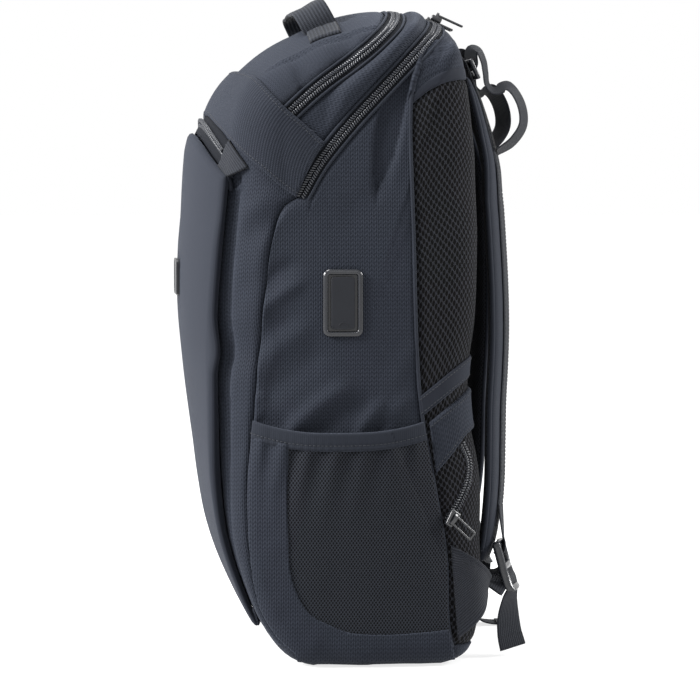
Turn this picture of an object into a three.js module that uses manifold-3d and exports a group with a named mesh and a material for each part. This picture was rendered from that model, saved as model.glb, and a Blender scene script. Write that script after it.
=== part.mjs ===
// A laptop backpack standing on its base: hollow sewn body, zips, padded back, straps and a charging port.
// Millimetres. +Z is up, the front faces -Y, the wearer's back is at +Y, the origin is on the flat base.
// The body is one rounded hull, cut along its seams into the panels that it is sewn from.

import * as THREE from "three";
import { mergeVertices } from "three/addons/utils/BufferGeometryUtils.js";
import Module from "manifold-3d";

const wasm = await Module();
wasm.setup();

// Driving sizes of the body
const BODY_WIDTH = 292; // between the edges of the two side panels
const BODY_DEPTH = 200; // front wall to the rear of the back pad, beside the middle
const BODY_HEIGHT = 487; // base to the top of the body, beside the middle
const CROWN = 24; // most that the front and lid swell at the middle of the width
const EDGE_RADIUS = 40; // largest rounding between the sides and the front, lid and back
const SIDE_BULGE = 5; // how far a side panel swells
const CLOTH = 3; // padded cloth wall
const BACK_FOAM = 12; // wall of the back and lumbar pads
const CLEARANCE = 0.3; // between neighbouring pieces
const BASE_EDGE = 15; // height where the base panel's upturned edge is sewn to the sides

// Driving sizes of what is sewn on the body
const PANEL_INSET = 26; // from the sides of the body to the front panel
const PANEL_PAD = 6; // most that the front panel's padding stands out
const PANEL_EDGE = 2.5; // front panel where it is thinnest
const ZIP_WIDTH = 12; // both tapes and the teeth
const ZIP_TAPE = 1.8; // thickness of the tapes
const TAPE_SINK = 0.6; // how far the tapes lie below the cloth's face
const TEETH_WIDTH = 5;
const TEETH_HEIGHT = 1.2; // above the cloth beside them
const BAND_CLOTH = 2.5; // saddle band over the lid
const TRIM_CLOTH = 2.2; // back trim and luggage strap
const TAB_CLOTH = 1.8; // webbing tabs and wings
const WING_INNER = 112; // distance from the middle to a wing's tip
const POCKET_CLOTH = 2; // wall of a side pocket
const POCKET_SLACK = 9; // how far a pocket's mouth stands off the side panel
const POCKET_FOOT = 5; // lowest point of a pocket above the ground
const POCKET_SEAM = 0.9; // pocket's wall to the side panel at its sewn edges
const BINDING_HEIGHT = 12; // elastic edge of a pocket
const BINDING_CLOTH = 2.6;
const GATHER_DEPTH = 0.55; // folds of a pocket's gathered cloth
const GATHERS = 6;

// Driving sizes of straps, webbing and hard parts
const STRAP_WIDTH = 62;
const STRAP_THICKNESS = 9;
const WEBBING_WIDTH = 25;
const WEBBING_THICKNESS = 1.6;
const HANDLE_WIDTH = 27;
const HANDLE_THICKNESS = 3.2;
const HANDLE_SPAN = 136; // between the legs' middles
const HANDLE_RISE = 21; // above the lid
const HANDLE_CORNER = 16;
const PORT_WIDTH = 27;
const PORT_HEIGHT = 48;
const PORT_STAND = 2.4; // how far the bezel stands out of its seat
const PORT_RIM = 3.2; // width of the bezel's raised rim
const PORT_DEPTH = 11; // bezel's front to the rear of its housing
const PORT_FLANGE = 2; // how far the bezel laps over the cloth
const PORT_CORNER = 4; // outer rounding of the bezel
const RECESS_CORNER = 1; // rounding of the recess that holds the cover
const FLAP_THICKNESS = 2.4;
const FLAP_GAP = 0.4; // around and behind the cover
const SOCKET_WIDTH = 5.2;
const SOCKET_HEIGHT = 13;
const SOCKET_DEPTH = 6;
const BADGE_WIDTH = 52;
const BADGE_HEIGHT = 28;
const BADGE_THICKNESS = 4;
const BADGE_CORNER = 4;
const BUCKLE_WIDTH = 34;
const BUCKLE_HEIGHT = 40;
const BUCKLE_THICKNESS = 5;
const BUCKLE_BAR = 5; // bars and side rails of the strap buckle
const RING_WIDTH = 33;
const RING_HEIGHT = 17;
const RING_THICKNESS = 3.5;
const SLIDER_LENGTH = 13;
const SLIDER_WIDTH = 9;
const SLIDER_HEIGHT = 5;
const SLIDER_SPREAD = 34; // from the middle to each slider of the rear zip
const PULL_LENGTH = 26;
const PULL_WIDTH = 6;
const PULL_THICKNESS = 1.8;
const PULL_SINK = 0.4; // how far a pull is let into its slider

const yz = (y, z) => new THREE.Vector2(y, z);

// Rows with named columns
const table = (columns, rows) =>
  rows.map((row) => Object.fromEntries(columns.map((name, i) => [name, row[i]])));

// The body's outline seen from its right side, counter-clockwise from the base's front.
// y is a share of the depth and z of the height.
// crown, edge and pad are shares of CROWN, EDGE_RADIUS and PANEL_PAD.
const OUTLINE = table(
  ["y", "z", "crown", "edge", "pad"],
  [
    [-0.2, 0, 0, 0.5, 0],
    [0.05, 0, 0, 0.5, 0],
    [0.29, 0, 0, 0.55, 0],
    [0.39, 0.018, 0, 0.6, 0],
    [0.435, 0.062, 0.08, 0.7, 0],
    [0.45, 0.164, 0.15, 0.8, 0],
    [0.445, 0.296, 0.15, 0.8, 0],
    [0.405, 0.386, 0.1, 0.8, 0],
    [0.4, 0.456, 0.1, 0.8, 0],
    [0.425, 0.538, 0.15, 0.8, 0],
    [0.435, 0.657, 0.1, 0.8, 0],
    [0.425, 0.791, 0.08, 0.8, 0],
    [0.4, 0.883, 0.1, 0.75, 0],
    [0.375, 0.938, 0.3, 0.7, 0],
    [0.32, 0.973, 0.6, 0.7, 0],
    [0.225, 0.988, 0.65, 0.8, 0],
    [0.1, 0.996, 0.72, 0.9, 0],
    [-0.025, 0.992, 0.74, 1, 0],
    [-0.165, 0.975, 0.75, 1, 0],
    [-0.3, 0.949, 0.62, 1, 0],
    [-0.405, 0.926, 0.5, 0.95, 0],
    [-0.465, 0.899, 0.6, 0.9, 0],
    [-0.495, 0.858, 0.8, 0.9, 0.2],
    [-0.495, 0.811, 0.95, 0.95, 0.4],
    [-0.49, 0.774, 1, 1, 0.6],
    [-0.52, 0.653, 0.9, 1, 1],
    [-0.545, 0.552, 0.7, 1, 1],
    [-0.55, 0.462, 0.5, 1, 1],
    [-0.545, 0.359, 0.28, 0.9, 1],
    [-0.535, 0.277, 0.15, 0.75, 0.9],
    [-0.51, 0.201, 0.12, 0.55, 0.7],
    [-0.46, 0.133, 0.1, 0.4, 0.5],
    [-0.39, 0.066, 0.05, 0.4, 0.3],
    [-0.3, 0.018, 0, 0.45, 0],
  ],
);
const OUTLINE_SAMPLES = 38;
const LINING_SAMPLES = 26;

// The box inside the outline from which every outward direction is measured, in the same shares
const CORE = { front: -0.225, back: 0.15, low: 0.123, high: 0.862 };

// Seams and zips seen from the side; they run right across the body at the same y and z
const onSide = (rows) =>
  table(["y", "z"], rows).map(({ y, z }) => yz(y * BODY_DEPTH, z * BODY_HEIGHT));
const FRONT_SEAM = onSide([
  [-0.2, 0],
  [-0.255, 0.02],
  [-0.325, 0.045],
  [-0.37, 0.07],
  [-0.405, 0.1],
  [-0.435, 0.16],
  [-0.45, 0.269],
  [-0.435, 0.361],
  [-0.385, 0.577],
  [-0.355, 0.663],
  [-0.31, 0.717],
  [-0.25, 0.731],
]);
const REAR_SEAM = onSide([
  [0.34, 0.01],
  [0.31, 0.062],
  [0.3, 0.175],
  [0.255, 0.283],
  [0.2, 0.423],
  [0.175, 0.678],
  [0.165, 0.873],
  [0.19, 0.934],
  [0.238, 0.972],
]);
const REAR_ZIP = onSide([
  [-0.25, 0.731],
  [-0.18, 0.781],
  [-0.065, 0.84],
  [0.085, 0.906],
  [0.238, 0.972],
  [0.31, 1.004],
  [0.37, 1.06],
]);
const MIDDLE_ZIP = onSide([
  [-0.275, 0.864],
  [-0.17, 0.902],
  [-0.05, 0.938],
  [0.05, 0.972],
  [0.14, 1.012],
  [0.19, 1.06],
]);
const FRONT_ZIP = onSide([
  [-0.44, 0.752],
  [-0.515, 0.805],
  [-0.615, 0.858],
  [-0.72, 0.91],
]);
const LUMBAR_ZIP = onSide([
  [0.376, 0.334],
  [0.378, 0.318],
  [0.366, 0.29],
  [0.345, 0.265],
  [0.315, 0.246],
]);
const LID_SEAM = onSide([
  [-0.9, 0.906],
  [-0.535, 0.9],
  [-0.275, 0.864],
]);
const YOKE_SEAM = onSide([
  [0.165, 0.873],
  [0.24, 0.897],
  [0.33, 0.911],
  [0.7, 0.915],
]);
const TRIM_TOP = onSide([
  [0.2, 0.423],
  [0.42, 0.485],
  [0.7, 0.5],
]);
const TRIM_LOW = onSide([
  [0.212, 0.392],
  [0.42, 0.452],
  [0.7, 0.467],
]);
const SADDLE_BAND = onSide([
  [-0.9, 1.0],
  [-0.9, 0.908],
  [-0.61, 0.882],
  [-0.53, 0.842],
  [-0.455, 0.803],
  [-0.4, 0.78],
  [-0.335, 0.756],
  [-0.296, 0.745],
  [-0.245, 0.78],
  [-0.225, 0.818],
  [-0.265, 0.84],
  [-0.318, 0.86],
  [-0.36, 0.886],
  [-0.405, 0.912],
  [-0.46, 0.933],
  [-0.46, 1.1],
]);
const LUGGAGE_STRAP = onSide([
  [0.235, 0.382],
  [0.42, 0.436],
  [0.7, 0.45],
  [0.7, 0.37],
  [0.45, 0.37],
  [0.385, 0.362],
  [0.32, 0.33],
  [0.262, 0.302],
  [0.238, 0.34],
]);
const WING = onSide([
  [0.318, 0.186],
  [0.7, 0.133],
  [0.7, 0.115],
  [0.345, 0.05],
]);
const FRONT_ZIP_END = onSide([
  [-0.452, 0.742],
  [-0.425, 0.752],
  [-0.41, 0.735],
  [-0.437, 0.725],
]);
const POCKET_TOP = onSide([
  [-0.428, 0.361],
  [-0.365, 0.353],
  [-0.255, 0.345],
  [-0.105, 0.343],
  [0.05, 0.345],
  [0.15, 0.351],
  [0.222, 0.358],
]);

// Paths of straps and webbing: x is a share of half the width, y of the depth, z of the height.
// For the shoulder strap, wide is the share of STRAP_WIDTH.
const SHOULDER_STRAP = table(
  ["x", "y", "z", "wide"],
  [
    [0.32, 0.425, 0.912, 0.86],
    [0.34, 0.462, 0.868, 0.9],
    [0.37, 0.492, 0.825, 0.95],
    [0.4, 0.515, 0.784, 1],
    [0.44, 0.527, 0.724, 1],
    [0.48, 0.535, 0.654, 1],
    [0.51, 0.541, 0.583, 1],
    [0.53, 0.542, 0.517, 1],
    [0.545, 0.537, 0.462, 1],
    [0.555, 0.529, 0.403, 1],
    [0.562, 0.526, 0.34, 1],
    [0.568, 0.523, 0.283, 0.97],
    [0.572, 0.517, 0.235, 0.9],
    [0.576, 0.508, 0.197, 0.75],
    [0.578, 0.5, 0.168, 0.55],
  ],
);
const LOAD_LIFTER = table(
  ["x", "y", "z"],
  [
    [0.33, 0.37, 0.966],
    [0.34, 0.425, 0.945],
    [0.35, 0.458, 0.915],
    [0.37, 0.495, 0.872],
    [0.4, 0.528, 0.82],
    [0.415, 0.552, 0.775],
    [0.43, 0.558, 0.74],
  ],
);
const LIFTER_TAIL = table(
  ["x", "y", "z"],
  [
    [0.345, 0.4510, 0.9317],
    [0.345, 0.471, 0.941],
    [0.34, 0.471, 0.958],
    [0.34, 0.473, 0.975],
    [0.34, 0.492, 0.974],
    [0.34, 0.508, 0.955],
    [0.345, 0.513, 0.93],
    [0.35, 0.52, 0.909],
    [0.36, 0.54, 0.898],
    [0.38, 0.6, 0.906],
    [0.4, 0.645, 0.88],
    [0.41, 0.655, 0.845],
    [0.41, 0.625, 0.818],
    [0.41, 0.578, 0.805],
  ],
);
const ADJUSTER = [
  [0.72, 0.494, 0.125],
  [0.66, 0.518, 0.12],
  [0.636, 0.545, 0.123],
  [0.63, 0.572, 0.129],
  [0.63, 0.597, 0.127],
  [0.628, 0.614, 0.112],
  [0.628, 0.606, 0.09],
];
const TAIL_RIGHT = [
  [0.63, 0.59, 0.06],
  [0.635, 0.585, 0.035],
  [0.64, 0.592, 0.014],
];
const TAIL_LEFT = [
  [0.625, 0.578, 0.06],
  [0.62, 0.565, 0.03],
  [0.612, 0.575, 0.01],
  [0.605, 0.62, 0.0045],
  [0.6, 0.7, 0.004],
];
const BUCKLE_PLACE = { x: 0.63, y: 0.57, z: 0.145, tilt: THREE.MathUtils.degToRad(15) };
const BUCKLE_TAB = table(
  ["x", "y", "z"],
  [
    [0.585, 0.5485, 0.24],
    [0.6, 0.556, 0.212],
    [0.615, 0.568, 0.19],
    [0.625, 0.573, 0.18],
    [0.628, 0.567, 0.168],
    [0.63, 0.552, 0.163],
    [0.63, 0.54, 0.166],
  ],
);
const HANDLE_PLACE = { y: -0.148, lean: THREE.MathUtils.degToRad(28) };

// The handle's bend from a leg to its middle, as shares of HANDLE_CORNER inwards and of HANDLE_RISE upwards
const HANDLE_BEND = table(
  ["inward", "up"],
  [
    [0, 0.4],
    [0.3, 0.8],
    [1, 1],
    [2, 1],
  ],
);
const PORT_PLACE = { y: -0.0925, z: 0.567 };
const BADGE_Z = 0.6 * BODY_HEIGHT;

// Where each slider stops, as a share of its zip's length seen from the side
const SLIDER_STOP = { front: 0.12, middle: 0.2, lumbar: 0.1 };

// From geometry to solids and back

const closed = (positions, triangles) => {
  const geometry = new THREE.BufferGeometry();
  geometry.setAttribute("position", new THREE.Float32BufferAttribute(positions, 3));
  geometry.setIndex(triangles);
  return solid(geometry);
};

function solid(geometry) {
  const bare = geometry.clone();
  bare.deleteAttribute("normal");
  bare.deleteAttribute("uv");
  const merged = mergeVertices(bare, 1e-4);
  const triVerts = new Uint32Array(merged.index.array);
  const mesh = (order) =>
    new wasm.Manifold(
      new wasm.Mesh({
        numProp: 3,
        vertProperties: new Float32Array(merged.attributes.position.array),
        triVerts: order,
      }),
    );
  const made = mesh(triVerts);
  if (made.volume() > 0) return made;
  return mesh(triVerts.map((_, i) => triVerts[i % 3 === 0 ? i + 1 : i % 3 === 1 ? i - 1 : i]));
}

const moved = (geometry, x, y, z) => geometry.applyMatrix4(new THREE.Matrix4().makeTranslation(x, y, z));

// A prism that runs along X, from a closed outline in y and z
function prism(points, low, high) {
  const geometry = new THREE.ExtrudeGeometry(new THREE.Shape(points), {
    depth: high - low,
    bevelEnabled: false,
    curveSegments: 4,
  });
  const turn = new THREE.Matrix4().makeBasis(
    new THREE.Vector3(0, 1, 0),
    new THREE.Vector3(0, 0, 1),
    new THREE.Vector3(1, 0, 0),
  );
  return solid(moved(geometry.applyMatrix4(turn), low, 0, 0));
}

const REACH = BODY_WIDTH; // half length of a prism that crosses the whole body
const across = (points) => prism(points, -REACH, REACH);

// A line's points moved sideways by a distance, to its left for a positive one
function beside(line, distance) {
  return line.map((point, i) => {
    const before = line[Math.max(i - 1, 0)];
    const after = line[Math.min(i + 1, line.length - 1)];
    const along = after.clone().sub(before).normalize();
    return yz(point.x - along.y * distance, point.y + along.x * distance);
  });
}

// The strip of a given width around a line
const strip = (line, width) => [...beside(line, -width / 2), ...beside(line, width / 2).reverse()];

const SHARPEST_CORNER = 0.5; // keeps a sharp corner from being drawn in too far

// A closed counter-clockwise outline drawn in by half the clearance, so that two neighbours keep it whole
function seamed(points, distance = CLEARANCE / 2) {
  const ring = THREE.ShapeUtils.area(points) < 0 ? [...points].reverse() : points;
  return ring.map((point, i) => {
    const before = ring[(i + ring.length - 1) % ring.length];
    const after = ring[(i + 1) % ring.length];
    const first = point.clone().sub(before).normalize();
    const second = after.clone().sub(point).normalize();
    const inward = yz(-first.y - second.y, first.x + second.x).normalize();
    const share = Math.max(SHARPEST_CORNER, inward.dot(yz(-first.y, first.x)));
    return point.clone().addScaledVector(inward, distance / share);
  });
}

// The body's hull

const nearestCore = (y, z) =>
  yz(
    THREE.MathUtils.clamp(y, CORE.front * BODY_DEPTH, CORE.back * BODY_DEPTH),
    THREE.MathUtils.clamp(z, CORE.low * BODY_HEIGHT, CORE.high * BODY_HEIGHT),
  );
const LEAST_FACING = 0.75; // limits the stretch where a wall slants to its outward direction

function sampleOutline(count) {
  const place = new THREE.CatmullRomCurve3(
    OUTLINE.map((row) => new THREE.Vector3(row.y * BODY_DEPTH, row.z * BODY_HEIGHT, row.crown * CROWN)),
    true,
  );
  const finish = new THREE.CatmullRomCurve3(
    OUTLINE.map((row) => new THREE.Vector3(row.edge * EDGE_RADIUS, row.pad * PANEL_PAD, 0)),
    true,
  );
  const at = (i) => place.getPoint(((i + count) % count) / count);
  return Array.from({ length: count }, (_, i) => {
    const point = at(i);
    const along = at(i + 1).sub(at(i - 1));
    const normal = yz(along.y, -along.x).normalize();
    const spot = yz(point.x, Math.max(0, point.y));
    const out = spot.clone().sub(nearestCore(spot.x, spot.y)).normalize();
    const { x: radius, y: pad } = finish.getPoint(i / count);
    return {
      spot,
      out,
      stretch: 1 / Math.max(LEAST_FACING, out.dot(normal)),
      crown: Math.max(0, point.z),
      radius,
      pad: Math.max(0, pad),
    };
  });
}

// How far an outline point lies out and from the middle, where the hull's section runs at a given step:
// steps 0 to 1 cross the crowned face, 1 to 2 go round the edge and 2 to 3 draw in over the side panel.
function profile(row, step, grow) {
  const half = BODY_WIDTH / 2;
  const start = Math.atan((2 * row.crown) / (half - row.radius));
  const face = half - row.radius * (1 - Math.sin(start));
  const arc = Math.min(Math.max(step - 1, 0), 1);
  const angle =
    step < 1 ? Math.atan((2 * row.crown * step) / face) : start + arc * (Math.PI / 2 - start);
  const inner = step < 1 ? face * step : face + row.radius * (Math.sin(angle) - Math.sin(start));
  const outer =
    step < 1 ? row.crown * (1 - step * step) : -row.radius * (Math.cos(start) - Math.cos(angle));
  return {
    x: inner + grow * Math.sin(angle),
    out: step < 1 ? outer + grow * Math.cos(angle) : row.stretch * (outer + grow * Math.cos(angle)),
  };
}

const FINE_STEPS = [0, 0.5, 1, 1.35, 1.7, 2, 3];
const LINING_STEPS = [0, 1, 1.5, 2, 3];

function hull(grow, { padded = 0, lining = false } = {}) {
  const rows = sampleOutline(lining ? LINING_SAMPLES : OUTLINE_SAMPLES);
  const middle = yz(
    ((CORE.front + CORE.back) / 2) * BODY_DEPTH,
    ((CORE.low + CORE.high) / 2) * BODY_HEIGHT,
  );
  const steps = lining ? LINING_STEPS : FINE_STEPS;
  const rings = [...steps.slice(1).reverse().map((step) => -step), ...steps];
  const positions = [];
  for (const signed of rings.slice(1, -1)) {
    const step = Math.abs(signed);
    for (const row of rows) {
      const { x, out } = profile(row, Math.min(step, 2), grow + padded * row.pad);
      const spot = row.spot.clone().addScaledVector(row.out, out);
      const share = Math.max(0, 3 - Math.max(step, 2));
      const bulge = SIDE_BULGE * (1 - share * share) * (step > 2 ? 1 : 0);
      const place = middle.clone().lerp(spot, share);
      positions.push(Math.sign(signed) * (x + bulge), place.x, place.y);
    }
  }
  const count = rows.length;
  const last = rings.length - 3;
  const triangles = [];
  for (let ring = 0; ring < last; ring++)
    for (let i = 0; i < count; i++) {
      const here = ring * count + i;
      const next = ring * count + ((i + 1) % count);
      triangles.push(here, next, here + count, next, next + count, here + count);
    }
  const cap = BODY_WIDTH / 2 + grow + SIDE_BULGE;
  const low = positions.length / 3;
  positions.push(-cap, middle.x, middle.y, cap, middle.x, middle.y);
  for (let i = 0; i < count; i++) {
    const next = (i + 1) % count;
    triangles.push(low, next, i);
    triangles.push(low + 1, last * count + i, last * count + next);
  }
  return closed(positions, triangles);
}

const bodyHull = hull(0);
const clothHull = hull(-CLOTH, { lining: true });
const foamHull = hull(-BACK_FOAM, { lining: true });
const clearHull = hull(CLEARANCE);

// Where a straight line along an axis first meets the body from outside
const bodyMesh = new THREE.Mesh(
  toGeometry(bodyHull),
  new THREE.MeshBasicMaterial({ side: THREE.DoubleSide }),
);
const meets = (from, towards) =>
  new THREE.Raycaster(from, towards.normalize()).intersectObject(bodyMesh)[0];
const FAR = 2 * BODY_HEIGHT;
const sideAt = (y, z) => {
  const hit = meets(new THREE.Vector3(FAR, y, z), new THREE.Vector3(-1, 0, 0));
  return hit ? hit.point.x : BODY_WIDTH / 2;
};
const topAt = (x, y) => meets(new THREE.Vector3(x, y, FAR), new THREE.Vector3(0, 0, -1)).point.z;
const frontAt = (z) => meets(new THREE.Vector3(0, -FAR, z), new THREE.Vector3(0, 1, 0)).point.y;

function toGeometry(manifold) {
  const { vertProperties, triVerts } = manifold.getMesh();
  const geometry = new THREE.BufferGeometry();
  geometry.setAttribute("position", new THREE.BufferAttribute(new Float32Array(vertProperties), 3));
  geometry.setIndex(new THREE.BufferAttribute(new Uint32Array(triVerts), 1));
  return geometry;
}

// Panels, overlays and zips

const LOW = -BODY_HEIGHT;
const HIGH = 2 * BODY_HEIGHT;
const AHEAD = -BODY_DEPTH;
const BEHIND = BODY_DEPTH;

const cut = (piece, ...cutters) => cutters.reduce((left, cutter) => left.subtract(cutter), piece);
const within = (shell, region) => shell.intersect(across(seamed(region)));

const clothShell = bodyHull.subtract(clothHull);
const foamShell = bodyHull.subtract(foamHull);

// A piece of cloth that lies on the body
const overlay = (thickness, region) =>
  hull(CLEARANCE + thickness).subtract(clearHull).intersect(across(region));

const zipSlot = (line) => across(strip(line, ZIP_WIDTH + 2 * CLEARANCE));
const tapeShell = hull(-TAPE_SINK).subtract(hull(-TAPE_SINK - ZIP_TAPE));
const teethShell = hull(TEETH_HEIGHT).subtract(hull(-TAPE_SINK - ZIP_TAPE / 2));
const zip = (line) =>
  tapeShell
    .intersect(across(strip(line, ZIP_WIDTH)))
    .add(teethShell.intersect(across(strip(line, TEETH_WIDTH))));

const slab = (low, high) =>
  prism([yz(AHEAD, LOW), yz(BEHIND, LOW), yz(BEHIND, HIGH), yz(AHEAD, HIGH)], low, high);
const rightHalf = (piece) => piece.intersect(slab(0, REACH));
const leftHalf = (piece) => piece.intersect(slab(-REACH, 0));

const rearLow = REAR_SEAM[0];
const rearTop = REAR_SEAM.at(-1);
const afterTop = REAR_ZIP.slice(REAR_ZIP.indexOf(REAR_ZIP.find((point) => point.x >= rearTop.x)));
const beforeTop = REAR_ZIP.slice(0, REAR_ZIP.indexOf(afterTop[0]));

const lidRegion = [
  ...LID_SEAM,
  ...MIDDLE_ZIP.slice(1),
  yz(MIDDLE_ZIP.at(-1).x, HIGH),
  yz(LID_SEAM[0].x, HIGH),
];
const middleRegion = [
  ...MIDDLE_ZIP,
  yz(MIDDLE_ZIP.at(-1).x, HIGH),
  yz(REAR_ZIP.at(-1).x, HIGH),
  ...[...REAR_ZIP].reverse(),
];
const sideRegion = [...FRONT_SEAM.slice(0, -1), ...beforeTop, ...[...REAR_SEAM].reverse()];
const frontRegion = [
  ...FRONT_SEAM,
  ...[...LID_SEAM].reverse(),
  yz(LID_SEAM[0].x, LOW),
  yz(FRONT_SEAM[0].x, LOW),
];
const backRegion = [
  yz(rearLow.x, LOW),
  ...REAR_SEAM.slice(0, -1),
  ...afterTop,
  yz(REAR_ZIP.at(-1).x, HIGH),
  yz(BEHIND, HIGH),
  yz(BEHIND, LOW),
];
const baseRegion = [yz(AHEAD, LOW), yz(BEHIND, LOW), yz(BEHIND, BASE_EDGE), yz(AHEAD, BASE_EDGE)];

// The part of the back above or below a seam that crosses it
const beyond = (line, end) => {
  const start = line[0].x - BODY_DEPTH / 4;
  return [...line, yz(BEHIND, end), yz(start, end), yz(start, line[0].y)];
};
const above = (line) => beyond(line, HIGH);
const below = (line) => beyond(line, LOW);
const aboveBase = across([
  yz(AHEAD, BASE_EDGE + CLEARANCE / 2),
  yz(BEHIND, BASE_EDGE + CLEARANCE / 2),
  yz(BEHIND, HIGH),
  yz(AHEAD, HIGH),
]);

const slots = { front: zipSlot(FRONT_ZIP), middle: zipSlot(MIDDLE_ZIP), rear: zipSlot(REAR_ZIP) };
const LUMBAR_ZIP_WIDTH = (ZIP_WIDTH + TEETH_WIDTH) / 2;
const lumbarCutter = prism(strip(LUMBAR_ZIP, LUMBAR_ZIP_WIDTH + 2 * CLEARANCE), 0, REACH).subtract(
  hull(-TAPE_SINK - ZIP_TAPE - 2 * CLEARANCE),
);

function makeSidePanels() {
  const both = cut(within(clothShell, sideRegion), slots.rear).intersect(aboveBase);
  return { right: rightHalf(both), left: leftHalf(both) };
}

const makeLid = () => cut(within(clothShell, lidRegion), slots.middle);
const makeMiddle = () => cut(within(clothShell, middleRegion), slots.middle, slots.rear);
const makeFront = () => cut(within(clothShell, frontRegion), slots.front, slots.rear).intersect(aboveBase);
const makeBase = () => within(clothShell, baseRegion);

function makeBack() {
  const whole = within(foamShell, backRegion).intersect(aboveBase);
  const part = (...regions) =>
    regions.reduce((left, region) => left.intersect(across(seamed(region))), whole);
  return {
    yoke: cut(part(above(YOKE_SEAM)), slots.rear),
    pad: part(below(YOKE_SEAM), above(TRIM_TOP)),
    trim: part(below(TRIM_TOP), above(TRIM_LOW)),
    lumbar: cut(part(below(TRIM_LOW)), lumbarCutter),
  };
}

function makeFrontPanel() {
  const halfWidth = BODY_WIDTH / 2 - PANEL_INSET;
  const top = beside(FRONT_ZIP, ZIP_WIDTH / 2 + 2 * CLEARANCE);
  const low = OUTLINE.at(-2).z * BODY_HEIGHT;
  const region = [...top, yz(AHEAD, top.at(-1).y), yz(AHEAD, low), yz(top[0].x / 2, low)];
  return hull(CLEARANCE + PANEL_EDGE, { padded: 1 })
    .subtract(clearHull)
    .intersect(prism(region, -halfWidth, halfWidth));
}

function makeLumbarZip() {
  const region = prism(strip(LUMBAR_ZIP, LUMBAR_ZIP_WIDTH), 0, REACH);
  return tapeShell
    .intersect(region)
    .add(teethShell.intersect(prism(strip(LUMBAR_ZIP, TEETH_WIDTH), 0, REACH)));
}

// Side pockets

// Point of a seam or edge at a share of its height range
function along(line, height) {
  for (let i = 1; i < line.length; i++) {
    const [low, high] = [line[i - 1], line[i]];
    if (height <= high.y) return low.clone().lerp(high, (height - low.y) / (high.y - low.y));
  }
  return line.at(-1).clone();
}

// A sheet between two faces given by functions of u and v, both from 0 to 1
function sheet(inner, outer, columns, rows) {
  const positions = [];
  for (const face of [inner, outer])
    for (let j = 0; j <= rows; j++)
      for (let i = 0; i <= columns; i++) positions.push(...face(i / columns, j / rows).toArray());
  const wide = columns + 1;
  const size = wide * (rows + 1);
  const triangles = [];
  const quad = (a, b, c, d) => triangles.push(a, b, c, a, c, d);
  for (let j = 0; j < rows; j++)
    for (let i = 0; i < columns; i++) {
      const here = j * wide + i;
      quad(here, here + wide, here + wide + 1, here + 1);
      quad(size + here, size + here + 1, size + here + wide + 1, size + here + wide);
    }
  for (let i = 0; i < columns; i++) {
    const top = rows * wide + i;
    quad(i, i + 1, size + i + 1, size + i);
    quad(top, size + top, size + top + 1, top + 1);
  }
  for (let j = 0; j < rows; j++) {
    const near = j * wide;
    const far = near + columns;
    quad(near, size + near, size + near + wide, near + wide);
    quad(far, far + wide, size + far + wide, size + far);
  }
  return closed(positions, triangles);
}

const POCKET_COLUMNS = 2 * GATHERS;
const POCKET_ROWS = [0, 0.04, 0.12, 0.3, 0.62, 1]; // heights of its rows, as shares of its own height

const pocketEdge = new THREE.CatmullRomCurve3(
  POCKET_TOP.map((point) => new THREE.Vector3(point.x, point.y, 0)),
);
const FULLNESS = { along: 0.7, up: 0.6 }; // less than 1 fills a pocket out nearer its seams

// How far a pocket's inner face stands off the side panel at a share along it and a share up it
const pocketStand = (u, v) => {
  const spread = Math.pow(Math.sin(Math.PI * THREE.MathUtils.clamp(u, 0, 1)), FULLNESS.along);
  return POCKET_SEAM + POCKET_SLACK * spread * Math.pow(v, FULLNESS.up);
};

function pocketPoint(side, u, v, lift, gather) {
  const top = pocketEdge.getPoint(u);
  const front = along(FRONT_SEAM, POCKET_FOOT + v * (top.y - POCKET_FOOT));
  const rear = along(REAR_SEAM, POCKET_FOOT + v * (top.y - POCKET_FOOT));
  const y = THREE.MathUtils.lerp(front.x, rear.x, u) + (1 - 2 * u) * CLEARANCE;
  const z = POCKET_FOOT + v * (top.y - POCKET_FOOT);
  const fold = gather * Math.cos(2 * Math.PI * GATHERS * u) * v;
  return new THREE.Vector3(side * (sideAt(y, z) + pocketStand(u, v) + lift + fold), y, z);
}

function makePocket(side) {
  const rows = POCKET_ROWS.length - 1;
  const face = (lift) => (u, v) =>
    pocketPoint(side, u, POCKET_ROWS[Math.round(v * rows)], lift, GATHER_DEPTH);
  return sheet(face(0), face(POCKET_CLOTH), POCKET_COLUMNS, rows).subtract(clearHull);
}

function makeBinding(side) {
  const place = (lift) => (u, v) => {
    const low = pocketPoint(side, u, 1, lift, 0);
    return new THREE.Vector3(low.x, low.y, low.z + CLEARANCE + v * BINDING_HEIGHT);
  };
  return sheet(place(0), place(BINDING_CLOTH), POCKET_COLUMNS, 1).subtract(clearHull);
}

// Straps and webbing

const FLAT = [[-1, -1], [1, -1], [1, 1], [-1, 1]];
const PADDED = [[-1, -0.3], [-0.9, -1], [0.9, -1], [1, -0.3], [1, 0.3], [0.9, 1], [-0.9, 1], [-1, 0.3]];

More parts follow.
